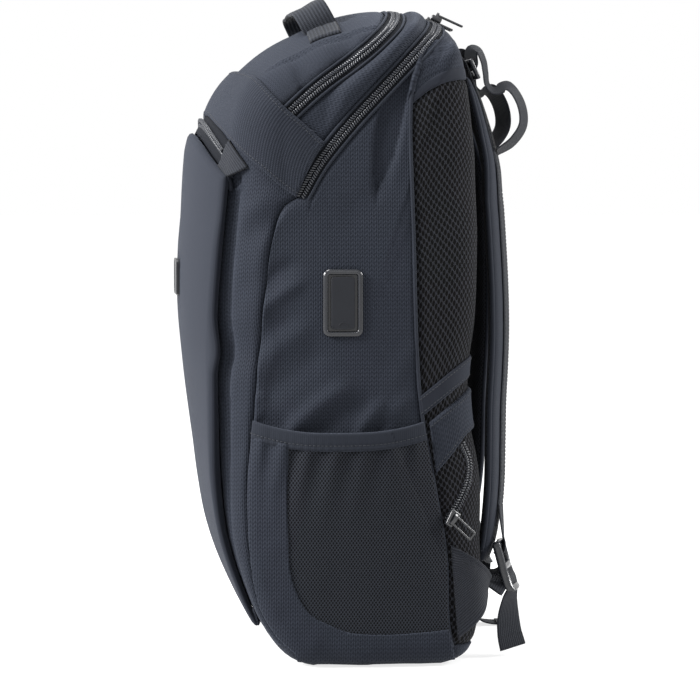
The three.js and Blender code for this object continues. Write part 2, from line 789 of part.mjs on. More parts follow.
// A strap along its path's points, with its width near the X axis or near a given direction
function ribbon(
  path,
  { width, thickness, outline = FLAT, wide = () => 1, lie = new THREE.Vector3(1, 0, 0) },
) {
  const count = outline.length;
  const positions = [];
  path.forEach((point, i) => {
    const before = path[Math.max(i - 1, 0)];
    const after = path[Math.min(i + 1, path.length - 1)];
    const run = after.clone().sub(before).normalize();
    const breadth = lie.clone().addScaledVector(run, -lie.dot(run)).normalize();
    const face = run.clone().cross(breadth);
    for (const [a, b] of outline)
      positions.push(
        ...point
          .clone()
          .addScaledVector(breadth, (a * wide(i) * width) / 2)
          .addScaledVector(face, (b * thickness) / 2)
          .toArray(),
      );
  });
  const triangles = [];
  for (let ring = 0; ring < path.length - 1; ring++)
    for (let i = 0; i < count; i++) {
      const here = ring * count + i;
      const next = ring * count + ((i + 1) % count);
      triangles.push(here, here + count, next, next, here + count, next + count);
    }
  const end = (path.length - 1) * count;
  for (let i = 1; i < count - 1; i++) {
    triangles.push(0, i, i + 1);
    triangles.push(end, end + i + 1, end + i);
  }
  return closed(positions, triangles);
}

const onBody = (rows, side) =>
  rows.map(
    ({ x, y, z }) =>
      new THREE.Vector3(
        (side * x * BODY_WIDTH) / 2,
        y * BODY_DEPTH,
        Math.max(z * BODY_HEIGHT, WEBBING_THICKNESS),
      ),
  );
const smooth = (points, count) => new THREE.CatmullRomCurve3(points).getPoints(count);
const webbing = (points, count, width = WEBBING_WIDTH) =>
  ribbon(smooth(points, count), { width, thickness: WEBBING_THICKNESS });

const makeStrap = (side) =>
  ribbon(onBody(SHOULDER_STRAP, side), {
    width: STRAP_WIDTH,
    thickness: STRAP_THICKNESS,
    outline: PADDED,
    wide: (i) => SHOULDER_STRAP[i].wide,
  }).subtract(clearHull);

const makeLoadLifter = (side) => webbing(onBody(LOAD_LIFTER, side), 12).subtract(clearHull);
const makeLifterTail = (side) => webbing(onBody(LIFTER_TAIL, side), 18);
const makeBuckleTab = (side) => webbing(onBody(BUCKLE_TAB, side), 10);

const makeAdjuster = (side) => {
  const rows = table(["x", "y", "z"], [...ADJUSTER, ...(side > 0 ? TAIL_RIGHT : TAIL_LEFT)]);
  return webbing(onBody(rows, side), 2 * rows.length).subtract(hull(TAB_CLOTH + 2 * CLEARANCE));
};

// A flat tab on the body, in an outline seen from the side
const makeTab = (side, region, inner) => {
  const [low, high] = side > 0 ? [inner, REACH] : [-REACH, -inner];
  return hull(CLEARANCE + TAB_CLOTH).subtract(clearHull).intersect(prism(region, low, high));
};
const makeWing = (side) => makeTab(side, WING, WING_INNER);
const makeZipEnd = (side) => makeTab(side, FRONT_ZIP_END, 0);

function makeHandle() {
  const up = new THREE.Vector3(0, -Math.sin(HANDLE_PLACE.lean), Math.cos(HANDLE_PLACE.lean));
  const lie = new THREE.Vector3(0, up.z, -up.y);
  const half = HANDLE_SPAN / 2;
  const y = HANDLE_PLACE.y * BODY_DEPTH;
  const foot = new THREE.Vector3(0, y, topAt(half, y) + HANDLE_THICKNESS / 2);
  const bend = HANDLE_BEND.map(({ inward, up: share }) => [
    half - inward * HANDLE_CORNER,
    share * HANDLE_RISE,
  ]);
  const leg = [[half, -HANDLE_THICKNESS], ...bend];
  const otherLeg = leg.map(([x, rise]) => [-x, rise]).reverse();
  const arch = [...leg, [0, HANDLE_RISE + HANDLE_THICKNESS / 2], ...otherLeg];
  const path = arch.map(([x, rise]) => foot.clone().addScaledVector(up, rise).setX(x));
  return ribbon(path, { width: HANDLE_WIDTH, thickness: HANDLE_THICKNESS, lie }).subtract(clearHull);
}

// Hard parts

function roundedRectangle(width, height, radius) {
  const [w, h] = [width / 2, height / 2];
  const shape = new THREE.Shape();
  shape.moveTo(-w + radius, -h);
  shape.lineTo(w - radius, -h);
  shape.absarc(w - radius, -h + radius, radius, -Math.PI / 2, 0);
  shape.lineTo(w, h - radius);
  shape.absarc(w - radius, h - radius, radius, 0, Math.PI / 2);
  shape.lineTo(-w + radius, h);
  shape.absarc(-w + radius, h - radius, radius, Math.PI / 2, Math.PI);
  shape.lineTo(-w, -h + radius);
  shape.absarc(-w + radius, -h + radius, radius, Math.PI, 1.5 * Math.PI);
  return shape;
}

const cleanPoints = (shape) => {
  const points = shape.getPoints(2);
  return points.filter((point, i) => point.distanceTo(points[(i + 1) % points.length]) > 1e-6);
};

// A rounded block on the side panel, between two distances from the middle plane
const sideBlock = (width, height, radius, low, high, y, z) =>
  prism(
    cleanPoints(roundedRectangle(width, height, radius)).map((point) => yz(point.x + y, point.y + z)),
    low,
    high,
  );

const port = (() => {
  const y = PORT_PLACE.y * BODY_DEPTH;
  const z = PORT_PLACE.z * BODY_HEIGHT;
  const corners = [-1, 0, 1].flatMap((a) =>
    [-1, 0, 1].map((b) => sideAt(y + (a * PORT_WIDTH) / 2, z + (b * PORT_HEIGHT) / 2)),
  );
  const seat = Math.max(...corners) + CLEARANCE;
  const face = seat + PORT_STAND;
  const flapWidth = PORT_WIDTH - 2 * PORT_RIM;
  const flapHeight = PORT_HEIGHT - 2 * PORT_RIM;
  return { y, z, seat, face, rear: face - PORT_DEPTH, flapWidth, flapHeight };
})();

function makePortBezel() {
  const { y, z, seat, face, rear, flapWidth, flapHeight } = port;
  const floor = face - FLAP_THICKNESS - FLAP_GAP;
  const outside = face + PORT_STAND;
  const flange = sideBlock(PORT_WIDTH, PORT_HEIGHT, PORT_CORNER, seat, face, y, z);
  const housing = sideBlock(
    PORT_WIDTH - 2 * PORT_FLANGE,
    PORT_HEIGHT - 2 * PORT_FLANGE,
    PORT_CORNER - PORT_FLANGE,
    rear,
    seat + CLEARANCE,
    y,
    z,
  );
  const recess = sideBlock(flapWidth, flapHeight, RECESS_CORNER, floor, outside, y, z);
  const socket = sideBlock(
    SOCKET_WIDTH,
    SOCKET_HEIGHT,
    RECESS_CORNER / 2,
    floor - SOCKET_DEPTH,
    outside,
    y,
    z,
  );
  return cut(flange.add(housing), recess, socket);
}

const portHole = sideBlock(
  PORT_WIDTH - 2 * PORT_FLANGE + 2 * CLEARANCE,
  PORT_HEIGHT - 2 * PORT_FLANGE + 2 * CLEARANCE,
  PORT_CORNER - PORT_FLANGE,
  port.rear - CLOTH,
  port.face,
  port.y,
  port.z,
);

// The port's cover: a plate with a finger notch at its foot, hinged along its top edge
function makePortFlap() {
  const { y, z, face, flapWidth, flapHeight } = port;
  const plate = sideBlock(
    flapWidth - 2 * FLAP_GAP,
    flapHeight - 2 * FLAP_GAP,
    RECESS_CORNER - FLAP_GAP,
    face - FLAP_THICKNESS,
    face,
    y,
    z,
  );
  const notch = sideBlock(
    flapWidth / 2,
    flapWidth / 4,
    RECESS_CORNER,
    face - FLAP_THICKNESS / 2,
    face + PORT_STAND,
    y,
    z - flapHeight / 2,
  );
  return plate.subtract(notch);
}

function makeBadge() {
  const front = Math.min(...[-0.5, 0, 0.5].map((share) => frontAt(BADGE_Z + share * BADGE_HEIGHT)));
  const rear = front - CLEARANCE - PANEL_EDGE - PANEL_PAD - CLEARANCE;
  const points = cleanPoints(roundedRectangle(BADGE_WIDTH, BADGE_HEIGHT, BADGE_CORNER));
  const geometry = new THREE.ExtrudeGeometry(new THREE.Shape(points), {
    depth: BADGE_THICKNESS,
    bevelEnabled: false,
  });
  geometry.applyMatrix4(new THREE.Matrix4().makeRotationX(Math.PI / 2));
  return solid(moved(geometry, 0, rear, BADGE_Z));
}

const FRAME_CORNER = 0.8; // outer rounding of a frame as a share of its bars' width

// A frame with one or two slots for webbing, lying in x and z with its thickness along y
function slottedFrame(width, height, thickness, bar, slotCount) {
  const corner = bar * FRAME_CORNER;
  const shape = roundedRectangle(width, height, corner);
  const slotHeight = (height - (slotCount + 1) * bar) / slotCount;
  for (let i = 0; i < slotCount; i++) {
    const middle = -height / 2 + bar + slotHeight / 2 + i * (slotHeight + bar);
    const [w, h] = [width / 2 - corner, slotHeight / 2];
    shape.holes.push(
      new THREE.Path([yz(-w, middle - h), yz(-w, middle + h), yz(w, middle + h), yz(w, middle - h)]),
    );
  }
  const geometry = new THREE.ExtrudeGeometry(shape, {
    depth: thickness,
    bevelEnabled: false,
    curveSegments: 2,
  });
  geometry.applyMatrix4(new THREE.Matrix4().makeTranslation(0, 0, -thickness / 2));
  return geometry.applyMatrix4(new THREE.Matrix4().makeRotationX(Math.PI / 2));
}

function makeBuckle(side) {
  const geometry = slottedFrame(BUCKLE_WIDTH, BUCKLE_HEIGHT, BUCKLE_THICKNESS, BUCKLE_BAR, 2);
  geometry.applyMatrix4(new THREE.Matrix4().makeRotationX(BUCKLE_PLACE.tilt));
  return solid(
    moved(
      geometry,
      (side * BUCKLE_PLACE.x * BODY_WIDTH) / 2,
      BUCKLE_PLACE.y * BODY_DEPTH,
      BUCKLE_PLACE.z * BODY_HEIGHT,
    ),
  );
}

// The ring that holds a load lifter, standing out above the webbing at its upper end
function makeLifterRing(side) {
  const path = onBody(LOAD_LIFTER, side);
  const run = path[2].clone().sub(path[1]).normalize();
  const geometry = slottedFrame(RING_WIDTH, RING_HEIGHT, RING_THICKNESS, RING_THICKNESS, 1);
  const face = new THREE.Vector3(0, -run.z, run.y).normalize();
  const up = new THREE.Vector3(0, face.z, -face.y);
  const lie = new THREE.Matrix4().makeBasis(new THREE.Vector3(1, 0, 0), face.clone().negate(), up);
  geometry.applyMatrix4(lie);
  const lift = RING_THICKNESS / 2 + WEBBING_THICKNESS / 2 + 2 * CLEARANCE;
  const place = path[1].clone().lerp(path[2], 0.5).addScaledVector(face, lift);
  return solid(moved(geometry, place.x, place.y, place.z));
}

// A zip slider with its pull lying along the zip
function makeSlider(place, run, out) {
  const lie = new THREE.Matrix4().makeBasis(run, out.clone().cross(run), out);
  const body = new THREE.BoxGeometry(SLIDER_LENGTH, SLIDER_WIDTH, SLIDER_HEIGHT);
  const pull = new THREE.BoxGeometry(PULL_LENGTH, PULL_WIDTH, PULL_THICKNESS);
  moved(pull, PULL_LENGTH / 2, 0, (SLIDER_HEIGHT + PULL_THICKNESS) / 2 - PULL_SINK);
  const sunk = solid(body).add(solid(pull));
  const geometry = toGeometry(sunk).applyMatrix4(lie);
  const lift = SLIDER_HEIGHT / 2 + TEETH_HEIGHT + 2 * CLEARANCE;
  const spotOn = place.clone().addScaledVector(out, lift);
  return solid(moved(geometry, spotOn.x, spotOn.y, spotOn.z));
}

function sliderWhere(from, towards, run) {
  const { point, face } = meets(from, towards);
  const out = face.normal.clone().normalize();
  return makeSlider(point, run.addScaledVector(out, -run.dot(out)).normalize(), out);
}

// A slider on a zip's run over the side, with its pull towards the zip's lower end
function sliderOnSide(line, share, side) {
  const steps = share * (line.length - 1);
  const at = Math.floor(steps);
  const { x: y, y: z } = line[at].clone().lerp(line[at + 1], steps - at);
  const run = new THREE.Vector3(0, line[at].x - line[at + 1].x, line[at].y - line[at + 1].y);
  return sliderWhere(new THREE.Vector3(side * FAR, y, z), new THREE.Vector3(-side, 0, 0), run);
}

// A slider on a zip's run over the top, with its pull towards the middle
function sliderOnTop(line, x) {
  const outer = line.at(-1);
  const inward = line.at(-2).clone().sub(outer);
  const from = new THREE.Vector3(x, outer.x - 3 * inward.x, outer.y - 3 * inward.y);
  const run = new THREE.Vector3(-Math.sign(x), 0, 0);
  return sliderWhere(from, new THREE.Vector3(0, inward.x, inward.y), run);
}

// Materials and the assembled backpack

const material = (color, roughness, metalness = 0) =>
  new THREE.MeshStandardMaterial({ color, roughness, metalness });
const CLOTH_LOOK = material(0x343842, 0.85);
const PANEL_LOOK = material(0x2f333c, 0.8);
const MESH_LOOK = material(0x1b1c20, 0.95);
const WEBBING_LOOK = material(0x25272d, 0.9);
const ZIP_LOOK = material(0x101114, 0.5);
const PLASTIC_LOOK = material(0x15161a, 0.4);

const backpack = new THREE.Group();
function addPiece(name, piece, look) {
  const mesh = new THREE.Mesh(toGeometry(piece), look);
  mesh.name = name;
  backpack.add(mesh);
}

const sides = makeSidePanels();
addPiece("side_panel_right", sides.right.subtract(portHole), CLOTH_LOOK);
addPiece("side_panel_left", sides.left, CLOTH_LOOK);
addPiece("lid_panel", makeLid(), CLOTH_LOOK);
addPiece("middle_gusset", makeMiddle(), CLOTH_LOOK);
addPiece("front_gusset", makeFront(), CLOTH_LOOK);
addPiece("front_panel", makeFrontPanel(), PANEL_LOOK);
addPiece("base_panel", makeBase(), CLOTH_LOOK);
addPiece("saddle_band", overlay(BAND_CLOTH, SADDLE_BAND), CLOTH_LOOK);

const back = makeBack();
addPiece("back_yoke", back.yoke, CLOTH_LOOK);
addPiece("back_pad", back.pad, MESH_LOOK);
addPiece("back_trim", back.trim, CLOTH_LOOK);
addPiece("lumbar_pad", back.lumbar, MESH_LOOK);
addPiece("luggage_strap", overlay(TRIM_CLOTH, LUGGAGE_STRAP), WEBBING_LOOK);

addPiece("front_zip", zip(FRONT_ZIP), ZIP_LOOK);
addPiece("middle_zip", zip(MIDDLE_ZIP), ZIP_LOOK);
addPiece("rear_zip", zip(REAR_ZIP), ZIP_LOOK);
addPiece("lumbar_zip", makeLumbarZip(), ZIP_LOOK);
addPiece("front_zip_slider", sliderOnSide(FRONT_ZIP, SLIDER_STOP.front, -1), PLASTIC_LOOK);
addPiece("middle_zip_slider", sliderOnSide(MIDDLE_ZIP, SLIDER_STOP.middle, -1), PLASTIC_LOOK);
addPiece("rear_zip_slider_left", sliderOnTop(REAR_ZIP, -SLIDER_SPREAD), PLASTIC_LOOK);
addPiece("rear_zip_slider_right", sliderOnTop(REAR_ZIP, SLIDER_SPREAD), PLASTIC_LOOK);
addPiece("lumbar_zip_slider", sliderOnSide([...LUMBAR_ZIP].reverse(), SLIDER_STOP.lumbar, 1), PLASTIC_LOOK);

addPiece("top_handle", makeHandle(), WEBBING_LOOK);
addPiece("front_badge", makeBadge(), PLASTIC_LOOK);
addPiece("usb_bezel", makePortBezel(), PLASTIC_LOOK);
addPiece("usb_flap", makePortFlap(), PLASTIC_LOOK);

for (const [name, side] of [
  ["right", 1],
  ["left", -1],
]) {
  addPiece(`side_pocket_${name}`, makePocket(side), CLOTH_LOOK);
  addPiece(`pocket_binding_${name}`, makeBinding(side), WEBBING_LOOK);
  addPiece(`front_zip_end_${name}`, makeZipEnd(side), WEBBING_LOOK);
  addPiece(`strap_wing_${name}`, makeWing(side), WEBBING_LOOK);
  addPiece(`shoulder_strap_${name}`, makeStrap(side), CLOTH_LOOK);
  addPiece(`load_lifter_${name}`, makeLoadLifter(side), WEBBING_LOOK);
  addPiece(`lifter_ring_${name}`, makeLifterRing(side), PLASTIC_LOOK);
  addPiece(`lifter_tail_${name}`, makeLifterTail(side), WEBBING_LOOK);
  addPiece(`adjuster_webbing_${name}`, makeAdjuster(side), WEBBING_LOOK);
  addPiece(`strap_buckle_${name}`, makeBuckle(side), PLASTIC_LOOK);
  addPiece(`buckle_tab_${name}`, makeBuckleTab(side), WEBBING_LOOK);
}

export default backpack;
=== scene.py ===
# %% [markdown]
# # A laptop backpack, sewn panel by panel
# The imported model gives the bag's bodies, nodes and box. Everything below is built in metres in the same
# place, and a piece that stands for an imported solid hides it.

# %% Load the frame
import math

import bmesh
import bpy
import numpy as np
from mathutils import Matrix, Vector, noise
from mathutils.bvhtree import BVHTree
from mathutils.interpolate import poly_3d_calc


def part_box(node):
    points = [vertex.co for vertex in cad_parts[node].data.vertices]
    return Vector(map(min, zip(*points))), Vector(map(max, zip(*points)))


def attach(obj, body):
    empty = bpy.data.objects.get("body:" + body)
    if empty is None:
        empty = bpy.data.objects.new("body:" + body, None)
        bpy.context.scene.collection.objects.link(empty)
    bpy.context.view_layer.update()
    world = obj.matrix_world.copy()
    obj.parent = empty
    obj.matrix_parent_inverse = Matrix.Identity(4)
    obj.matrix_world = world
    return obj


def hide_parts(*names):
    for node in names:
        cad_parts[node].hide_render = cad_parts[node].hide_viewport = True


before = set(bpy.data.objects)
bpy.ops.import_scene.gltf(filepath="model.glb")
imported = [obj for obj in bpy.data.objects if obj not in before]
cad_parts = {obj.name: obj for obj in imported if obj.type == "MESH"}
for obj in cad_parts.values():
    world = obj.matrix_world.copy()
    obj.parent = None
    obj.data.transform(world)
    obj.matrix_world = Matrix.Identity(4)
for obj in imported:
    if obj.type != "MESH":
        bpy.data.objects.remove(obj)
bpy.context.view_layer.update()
MM = 0.001

# %% [markdown]
# ## Camera
# The photograph looks straight at the bag's right side from far away, a little from the front and a little
# from above. A long lens at 2.6 m gives that nearly flat perspective.

# %% Camera at the photograph's angle
AZIMUTH, ELEVATION, DISTANCE = math.radians(85), math.radians(3), 2.6
AIM = Vector((0, 0, 0.233))
towards_camera = Vector(
    (
        math.sin(AZIMUTH) * math.cos(ELEVATION),
        -math.cos(AZIMUTH) * math.cos(ELEVATION),
        math.sin(ELEVATION),
    )
)
camera = bpy.data.objects.new("camera", bpy.data.cameras.new("camera"))
bpy.context.scene.collection.objects.link(camera)
camera.data.lens = 168
camera.data.sensor_width = 36
camera.location = AIM + towards_camera * DISTANCE
camera.rotation_mode = "QUATERNION"
camera.rotation_quaternion = (-towards_camera).to_track_quat("-Z", "Y")
bpy.context.scene.camera = camera
print("camera stands at", tuple(round(c, 2) for c in camera.location))

# %% [markdown]
# ## Light and floor
# Product light is soft and comes from everywhere: a bright room, one big panel in front of and above the
# bag's face, one over the camera, and a weaker one behind the straps. The floor is pale and has no pattern.

# %% Lights and floor
FLOOR_SIZE = 60
LIGHTS = (
    # name, where it stands, its size, its power
    ("front_softbox", (0.85, -2.7, 1.7), 1.1, 270),
    ("top_softbox", (0.3, -0.9, 2.9), 1.0, 90),
    ("back_softbox", (0.15, 2.8, 1.5), 1.0, 110),
    ("camera_softbox", (3.0, 0.4, 2.0), 1.6, 10),
)
ROOM, FLOOR_GLOW = 1.0, 0.74


def plain_material(name, colour, roughness):
    material = bpy.data.materials.new(name)
    material.use_nodes = True
    shader = material.node_tree.nodes["Principled BSDF"]
    shader.inputs["Base Color"].default_value = (*colour, 1)
    shader.inputs["Roughness"].default_value = roughness
    return material


for name, spot, size, power in LIGHTS:
    lamp = bpy.data.objects.new(name, bpy.data.lights.new(name, "AREA"))
    lamp.data.size = size
    lamp.data.energy = power
    lamp.location = spot
    lamp.rotation_mode = "QUATERNION"
    lamp.rotation_quaternion = (AIM - Vector(spot)).to_track_quat("-Z", "Y")
    bpy.context.scene.collection.objects.link(lamp)

world = bpy.data.worlds.new("room")
world.use_nodes = True
world.node_tree.nodes["Background"].inputs["Color"].default_value = (1.0, 1.0, 1.0, 1)
world.node_tree.nodes["Background"].inputs["Strength"].default_value = ROOM
bpy.context.scene.world = world
bpy.context.scene.view_settings.view_transform = "Standard"

ground = bmesh.new()
bmesh.ops.create_grid(ground, x_segments=1, y_segments=1, size=FLOOR_SIZE / 2)
floor_mesh = bpy.data.meshes.new("floor")
ground.to_mesh(floor_mesh)
ground.free()
floor = bpy.data.objects.new("floor", floor_mesh)
floor_finish = plain_material("floor", (0.3, 0.3, 0.3), 1.0)
floor_shader = floor_finish.node_tree.nodes["Principled BSDF"]
floor_shader.inputs["Specular IOR Level"].default_value = 0
floor_shader.inputs["Emission Color"].default_value = (1, 1, 1, 1)
floor_shader.inputs["Emission Strength"].default_value = FLOOR_GLOW
floor_mesh.materials.append(floor_finish)
bpy.context.scene.collection.objects.link(floor)
print("lights", len(LIGHTS))

# %% [markdown]
# ## The body that the cloth lies on
# A real backpack has a soft body under its panels. It is one rounded hull here too: an outline seen from the
# side, a crown across the middle of the width and a rounding at its edges. It isn't shown. It is what every
# panel, zip and strap is laid on, so that neighbours meet exactly, whatever their own shapes are.

# %% Sizes and the outline
WIDTH, DEPTH, HEIGHT = 292 * MM, 200 * MM, 487 * MM
CROWN, EDGE, BULGE, PAD = 24 * MM, 40 * MM, 5 * MM, 6 * MM
CORE_Y, CORE_Z = (-0.225, 0.15), (0.123, 0.862)
LEAST_FACING = 0.75
OUTLINE = (
    # y as a share of the depth, z of the height, and shares of the crown, the edge's rounding and the padding
    (-0.2, 0, 0, 0.5, 0),
    (0.05, 0, 0, 0.5, 0),
    (0.29, 0, 0, 0.55, 0),
    (0.39, 0.018, 0, 0.6, 0),
    (0.435, 0.062, 0.08, 0.7, 0),
    (0.45, 0.164, 0.15, 0.8, 0),
    (0.445, 0.296, 0.15, 0.8, 0),
    (0.405, 0.386, 0.1, 0.8, 0),
    (0.4, 0.456, 0.1, 0.8, 0),
    (0.425, 0.538, 0.15, 0.8, 0),
    (0.435, 0.657, 0.1, 0.8, 0),
    (0.425, 0.791, 0.08, 0.8, 0),
    (0.4, 0.883, 0.1, 0.75, 0),
    (0.375, 0.938, 0.3, 0.7, 0),
    (0.32, 0.973, 0.6, 0.7, 0),
    (0.225, 0.988, 0.65, 0.8, 0),
    (0.1, 0.993, 0.72, 0.9, 0),
    (-0.025, 0.986, 0.74, 1, 0),
    (-0.165, 0.967, 0.75, 1, 0),
    (-0.3, 0.941, 0.62, 1, 0),
    (-0.395, 0.917, 0.5, 0.95, 0),
    (-0.449, 0.89, 0.6, 0.9, 0),
    (-0.478, 0.853, 0.8, 0.9, 0.2),
    (-0.488, 0.811, 0.95, 0.95, 0.4),
    (-0.49, 0.774, 1, 1, 0.6),
    (-0.52, 0.653, 0.9, 1, 1),
    (-0.545, 0.552, 0.7, 1, 1),
    (-0.55, 0.462, 0.5, 1, 1),
    (-0.545, 0.359, 0.28, 0.9, 1),
    (-0.535, 0.277, 0.15, 0.75, 0.9),
    (-0.51, 0.201, 0.12, 0.55, 0.7),
    (-0.46, 0.133, 0.1, 0.4, 0.5),
    (-0.39, 0.066, 0.05, 0.4, 0.3),
    (-0.3, 0.018, 0, 0.45, 0),
)


def curve_through(points, closed=False):
    """A smooth curve through points, as a function of a share from 0 to 1."""
    knots = [np.array(point, float) for point in points]
    count = len(knots)

    def knot(k):
        if closed:
            return knots[k % count]
        if k < 0:
            return 2 * knots[0] - knots[1]
        if k >= count:
            return 2 * knots[-1] - knots[-2]
        return knots[k]

    def at(share):
        place = share * (count if closed else count - 1)
        i = math.floor(place)
        if not closed:
            i = min(max(i, 0), count - 2)
        w = place - i
        a, b, c, d = (knot(i + k) for k in (-1, 0, 1, 2))
        first, second, third = (
            math.sqrt(np.linalg.norm(q - p)) for p, q in ((a, b), (b, c), (c, d))
        )
        second = second if second > 1e-5 else 1.0
        first = first if first > 1e-5 else second
        third = third if third > 1e-5 else second
        leave = second * ((b - a) / first - (c - a) / (first + second) + (c - b) / second)
        arrive = second * ((c - b) / second - (d - b) / (second + third) + (d - c) / third)
        return (
            b
            + leave * w
            + (3 * (c - b) - 2 * leave - arrive) * w**2
            + (2 * (b - c) + leave + arrive) * w**3
        )

    return at


# %% The hull as one smooth mesh
AROUND = 240
ACROSS = np.concatenate(
    [np.linspace(0, 1, 13), np.linspace(1, 2, 10)[1:], np.linspace(2, 3, 12)[1:]]
)


def outline_rows(count):
    place = curve_through([(y * DEPTH, z * HEIGHT, c * CROWN) for y, z, c, _, _ in OUTLINE], True)
    finish = curve_through([(e * EDGE, p * PAD) for _, _, _, e, p in OUTLINE], True)
    rows = []
    for i in range(count):
        y, z, crown = place(i / count)
        run = place((i + 1) % count / count) - place((i - 1) % count / count)
        square = np.array([run[1], -run[0]]) / np.linalg.norm(run[:2])
        spot = np.array([y, max(0, z)])
        core = np.array(
            [
                np.clip(spot[0], CORE_Y[0] * DEPTH, CORE_Y[1] * DEPTH),
                np.clip(spot[1], CORE_Z[0] * HEIGHT, CORE_Z[1] * HEIGHT),
            ]
        )
        out = (spot - core) / np.linalg.norm(spot - core)
        stretch = 1 / max(LEAST_FACING, out @ square)
        radius, pad = finish(i / count)
        rows.append((spot, out, stretch, max(0, crown), radius, max(0, pad)))
    return rows


def hull_point(row, signed_step):
    """Steps 0 to 1 cross the crowned face, 1 to 2 go round the edge, 2 to 3 draw in over the side."""
    spot, out, stretch, crown, radius, _ = row
    step = min(abs(signed_step), 2)
    half = WIDTH / 2
    start = math.atan(2 * crown / (half - radius))
    face = half - radius * (1 - math.sin(start))
    if step < 1:
        x, rise = face * step, crown * (1 - step**2)
    else:
        angle = start + (step - 1) * (math.pi / 2 - start)
        x = face + radius * (math.sin(angle) - math.sin(start))
        rise = -stretch * radius * (math.cos(start) - math.cos(angle))
    inward = 3 - max(abs(signed_step), 2)
    middle = np.array([sum(CORE_Y) / 2 * DEPTH, sum(CORE_Z) / 2 * HEIGHT])
    y, z = middle + (spot + out * rise - middle) * inward
    x += BULGE * (1 - inward**2)
    return Vector((math.copysign(x, signed_step), y, z))


class Skin:
    """The hull's surface: where a ray meets it, and which way is out there."""

    def __init__(self):
        steps = [*(-ACROSS[:0:-1]), *ACROSS]
        rows = outline_rows(AROUND)
        self.mesh = bmesh.new()
        bmesh.ops.create_grid(
            self.mesh, x_segments=AROUND, y_segments=len(steps) - 1, size=0.5
        )
        for vertex in self.mesh.verts:
            i = round((vertex.co.x + 0.5) * AROUND) % AROUND
            j = round((vertex.co.y + 0.5) * (len(steps) - 1))
            vertex.co = hull_point(rows[i], steps[j])
        bmesh.ops.remove_doubles(self.mesh, verts=self.mesh.verts, dist=0.01 * MM)
        bmesh.ops.recalc_face_normals(self.mesh, faces=self.mesh.faces)
        bmesh.ops.triangulate(self.mesh, faces=self.mesh.faces)
        self.mesh.normal_update()
        self.mesh.faces.ensure_lookup_table()
        self.tree = BVHTree.FromBMesh(self.mesh)

    def meet(self, origin, towards):
        """The point and smooth normal where a ray first meets the hull, or None."""
        place, _, index, _ = self.tree.ray_cast(Vector(origin), Vector(towards))
        return None if place is None else (place, self.normal(index, place))

    def nearest(self, point):
        place, _, index, _ = self.tree.find_nearest(Vector(point))
        return place, self.normal(index, place)

    def normal(self, index, place):
        corners = self.mesh.faces[index].verts
        weights = poly_3d_calc([corner.co for corner in corners], place)
        return sum((c.normal * w for c, w in zip(corners, weights)), Vector()).normalized()


skin = Skin()
print("hull", len(skin.mesh.verts), "vertices")

# %% [markdown]
# ## Seams drawn on the side view
# A pattern cutter draws a backpack from its side. Each seam and zip is such a line here, in shares of the
# depth and height, and it runs over the bag at the same place on both sides. Following the line over the hull
# gives its course in space, from the middle of the top, front or back down to its end on the side.

# %% Seams and zips from the side
def side_line(*rows, samples=60):
    """A smooth line on the side view, as evenly spaced points in metres."""
    at = curve_through([(y * DEPTH, z * HEIGHT) for y, z in rows])
    dense = np.array([at(i / 400) for i in range(401)])
    return resampled(dense, np.linspace(0, 1, samples))


def resampled(points, shares):
    """Rows at shares of a line's length. Its first columns are a place, and any after the third a normal."""
    steps = np.linalg.norm(np.diff(points[:, :3], axis=0), axis=1)
    lengths = np.concatenate([[0], np.cumsum(steps)])
    return np.array([np.interp(shares * lengths[-1], lengths, axis) for axis in points.T]).T


def beside(line, distance):
    """A side line moved sideways, to its left where the distance is positive."""
    run = np.gradient(line, axis=0)
    run /= np.linalg.norm(run, axis=1)[:, None]
    return line + distance * np.stack([-run[:, 1], run[:, 0]], axis=1)


FRONT_SEAM = side_line(
    (-0.2, 0), (-0.255, 0.02), (-0.325, 0.045), (-0.37, 0.07), (-0.405, 0.1), (-0.435, 0.16),
    (-0.45, 0.269), (-0.435, 0.361), (-0.385, 0.577), (-0.355, 0.663), (-0.31, 0.717), (-0.25, 0.731),
)
REAR_SEAM = side_line(
    (0.34, 0.01), (0.31, 0.062), (0.3, 0.175), (0.255, 0.283), (0.2, 0.423), (0.175, 0.678),
    (0.165, 0.873), (0.19, 0.934), (0.238, 0.972),
)
REAR_ZIP = side_line(
    (-0.25, 0.731), (-0.18, 0.781), (-0.065, 0.84), (0.085, 0.906), (0.238, 0.972), (0.31, 1.004),
    (0.37, 1.06),
)
MIDDLE_ZIP = side_line(
    (-0.34, 0.836), (-0.275, 0.864), (-0.17, 0.902), (-0.05, 0.938), (0.05, 0.972), (0.14, 1.012),
    (0.19, 1.06),
)
FRONT_ZIP = side_line((-0.468, 0.768), (-0.519, 0.8), (-0.585, 0.85), (-0.63, 0.886), (-0.72, 0.94))
LUMBAR_ZIP = side_line(
    (0.365, 0.346), (0.392, 0.32), (0.388, 0.289), (0.354, 0.257), (0.312, 0.231)
)
LID_SEAM = side_line((-0.345, 0.842), (-0.42, 0.872), (-0.535, 0.895), (-0.9, 0.915))
YOKE_SEAM = side_line((0.165, 0.873), (0.24, 0.897), (0.33, 0.911), (0.7, 0.915))
TRIM_TOP = side_line((0.2, 0.423), (0.42, 0.485), (0.7, 0.5))
TRIM_LOW = side_line((0.212, 0.392), (0.42, 0.452), (0.7, 0.467))
BAND_LOW = side_line(
    (-0.265, 0.729), (-0.335, 0.75), (-0.4, 0.775), (-0.455, 0.797), (-0.53, 0.835), (-0.61, 0.876),
    (-0.9, 0.905),
)
BAND_HIGH = side_line(
    (-0.16, 0.814), (-0.2, 0.829), (-0.245, 0.846), (-0.305, 0.867), (-0.355, 0.889), (-0.405, 0.914),
    (-0.46, 0.933), (-0.47, 1.0), (-0.47, 1.1),
)
BASE_EDGE = 15 * MM
FAR = 1.0


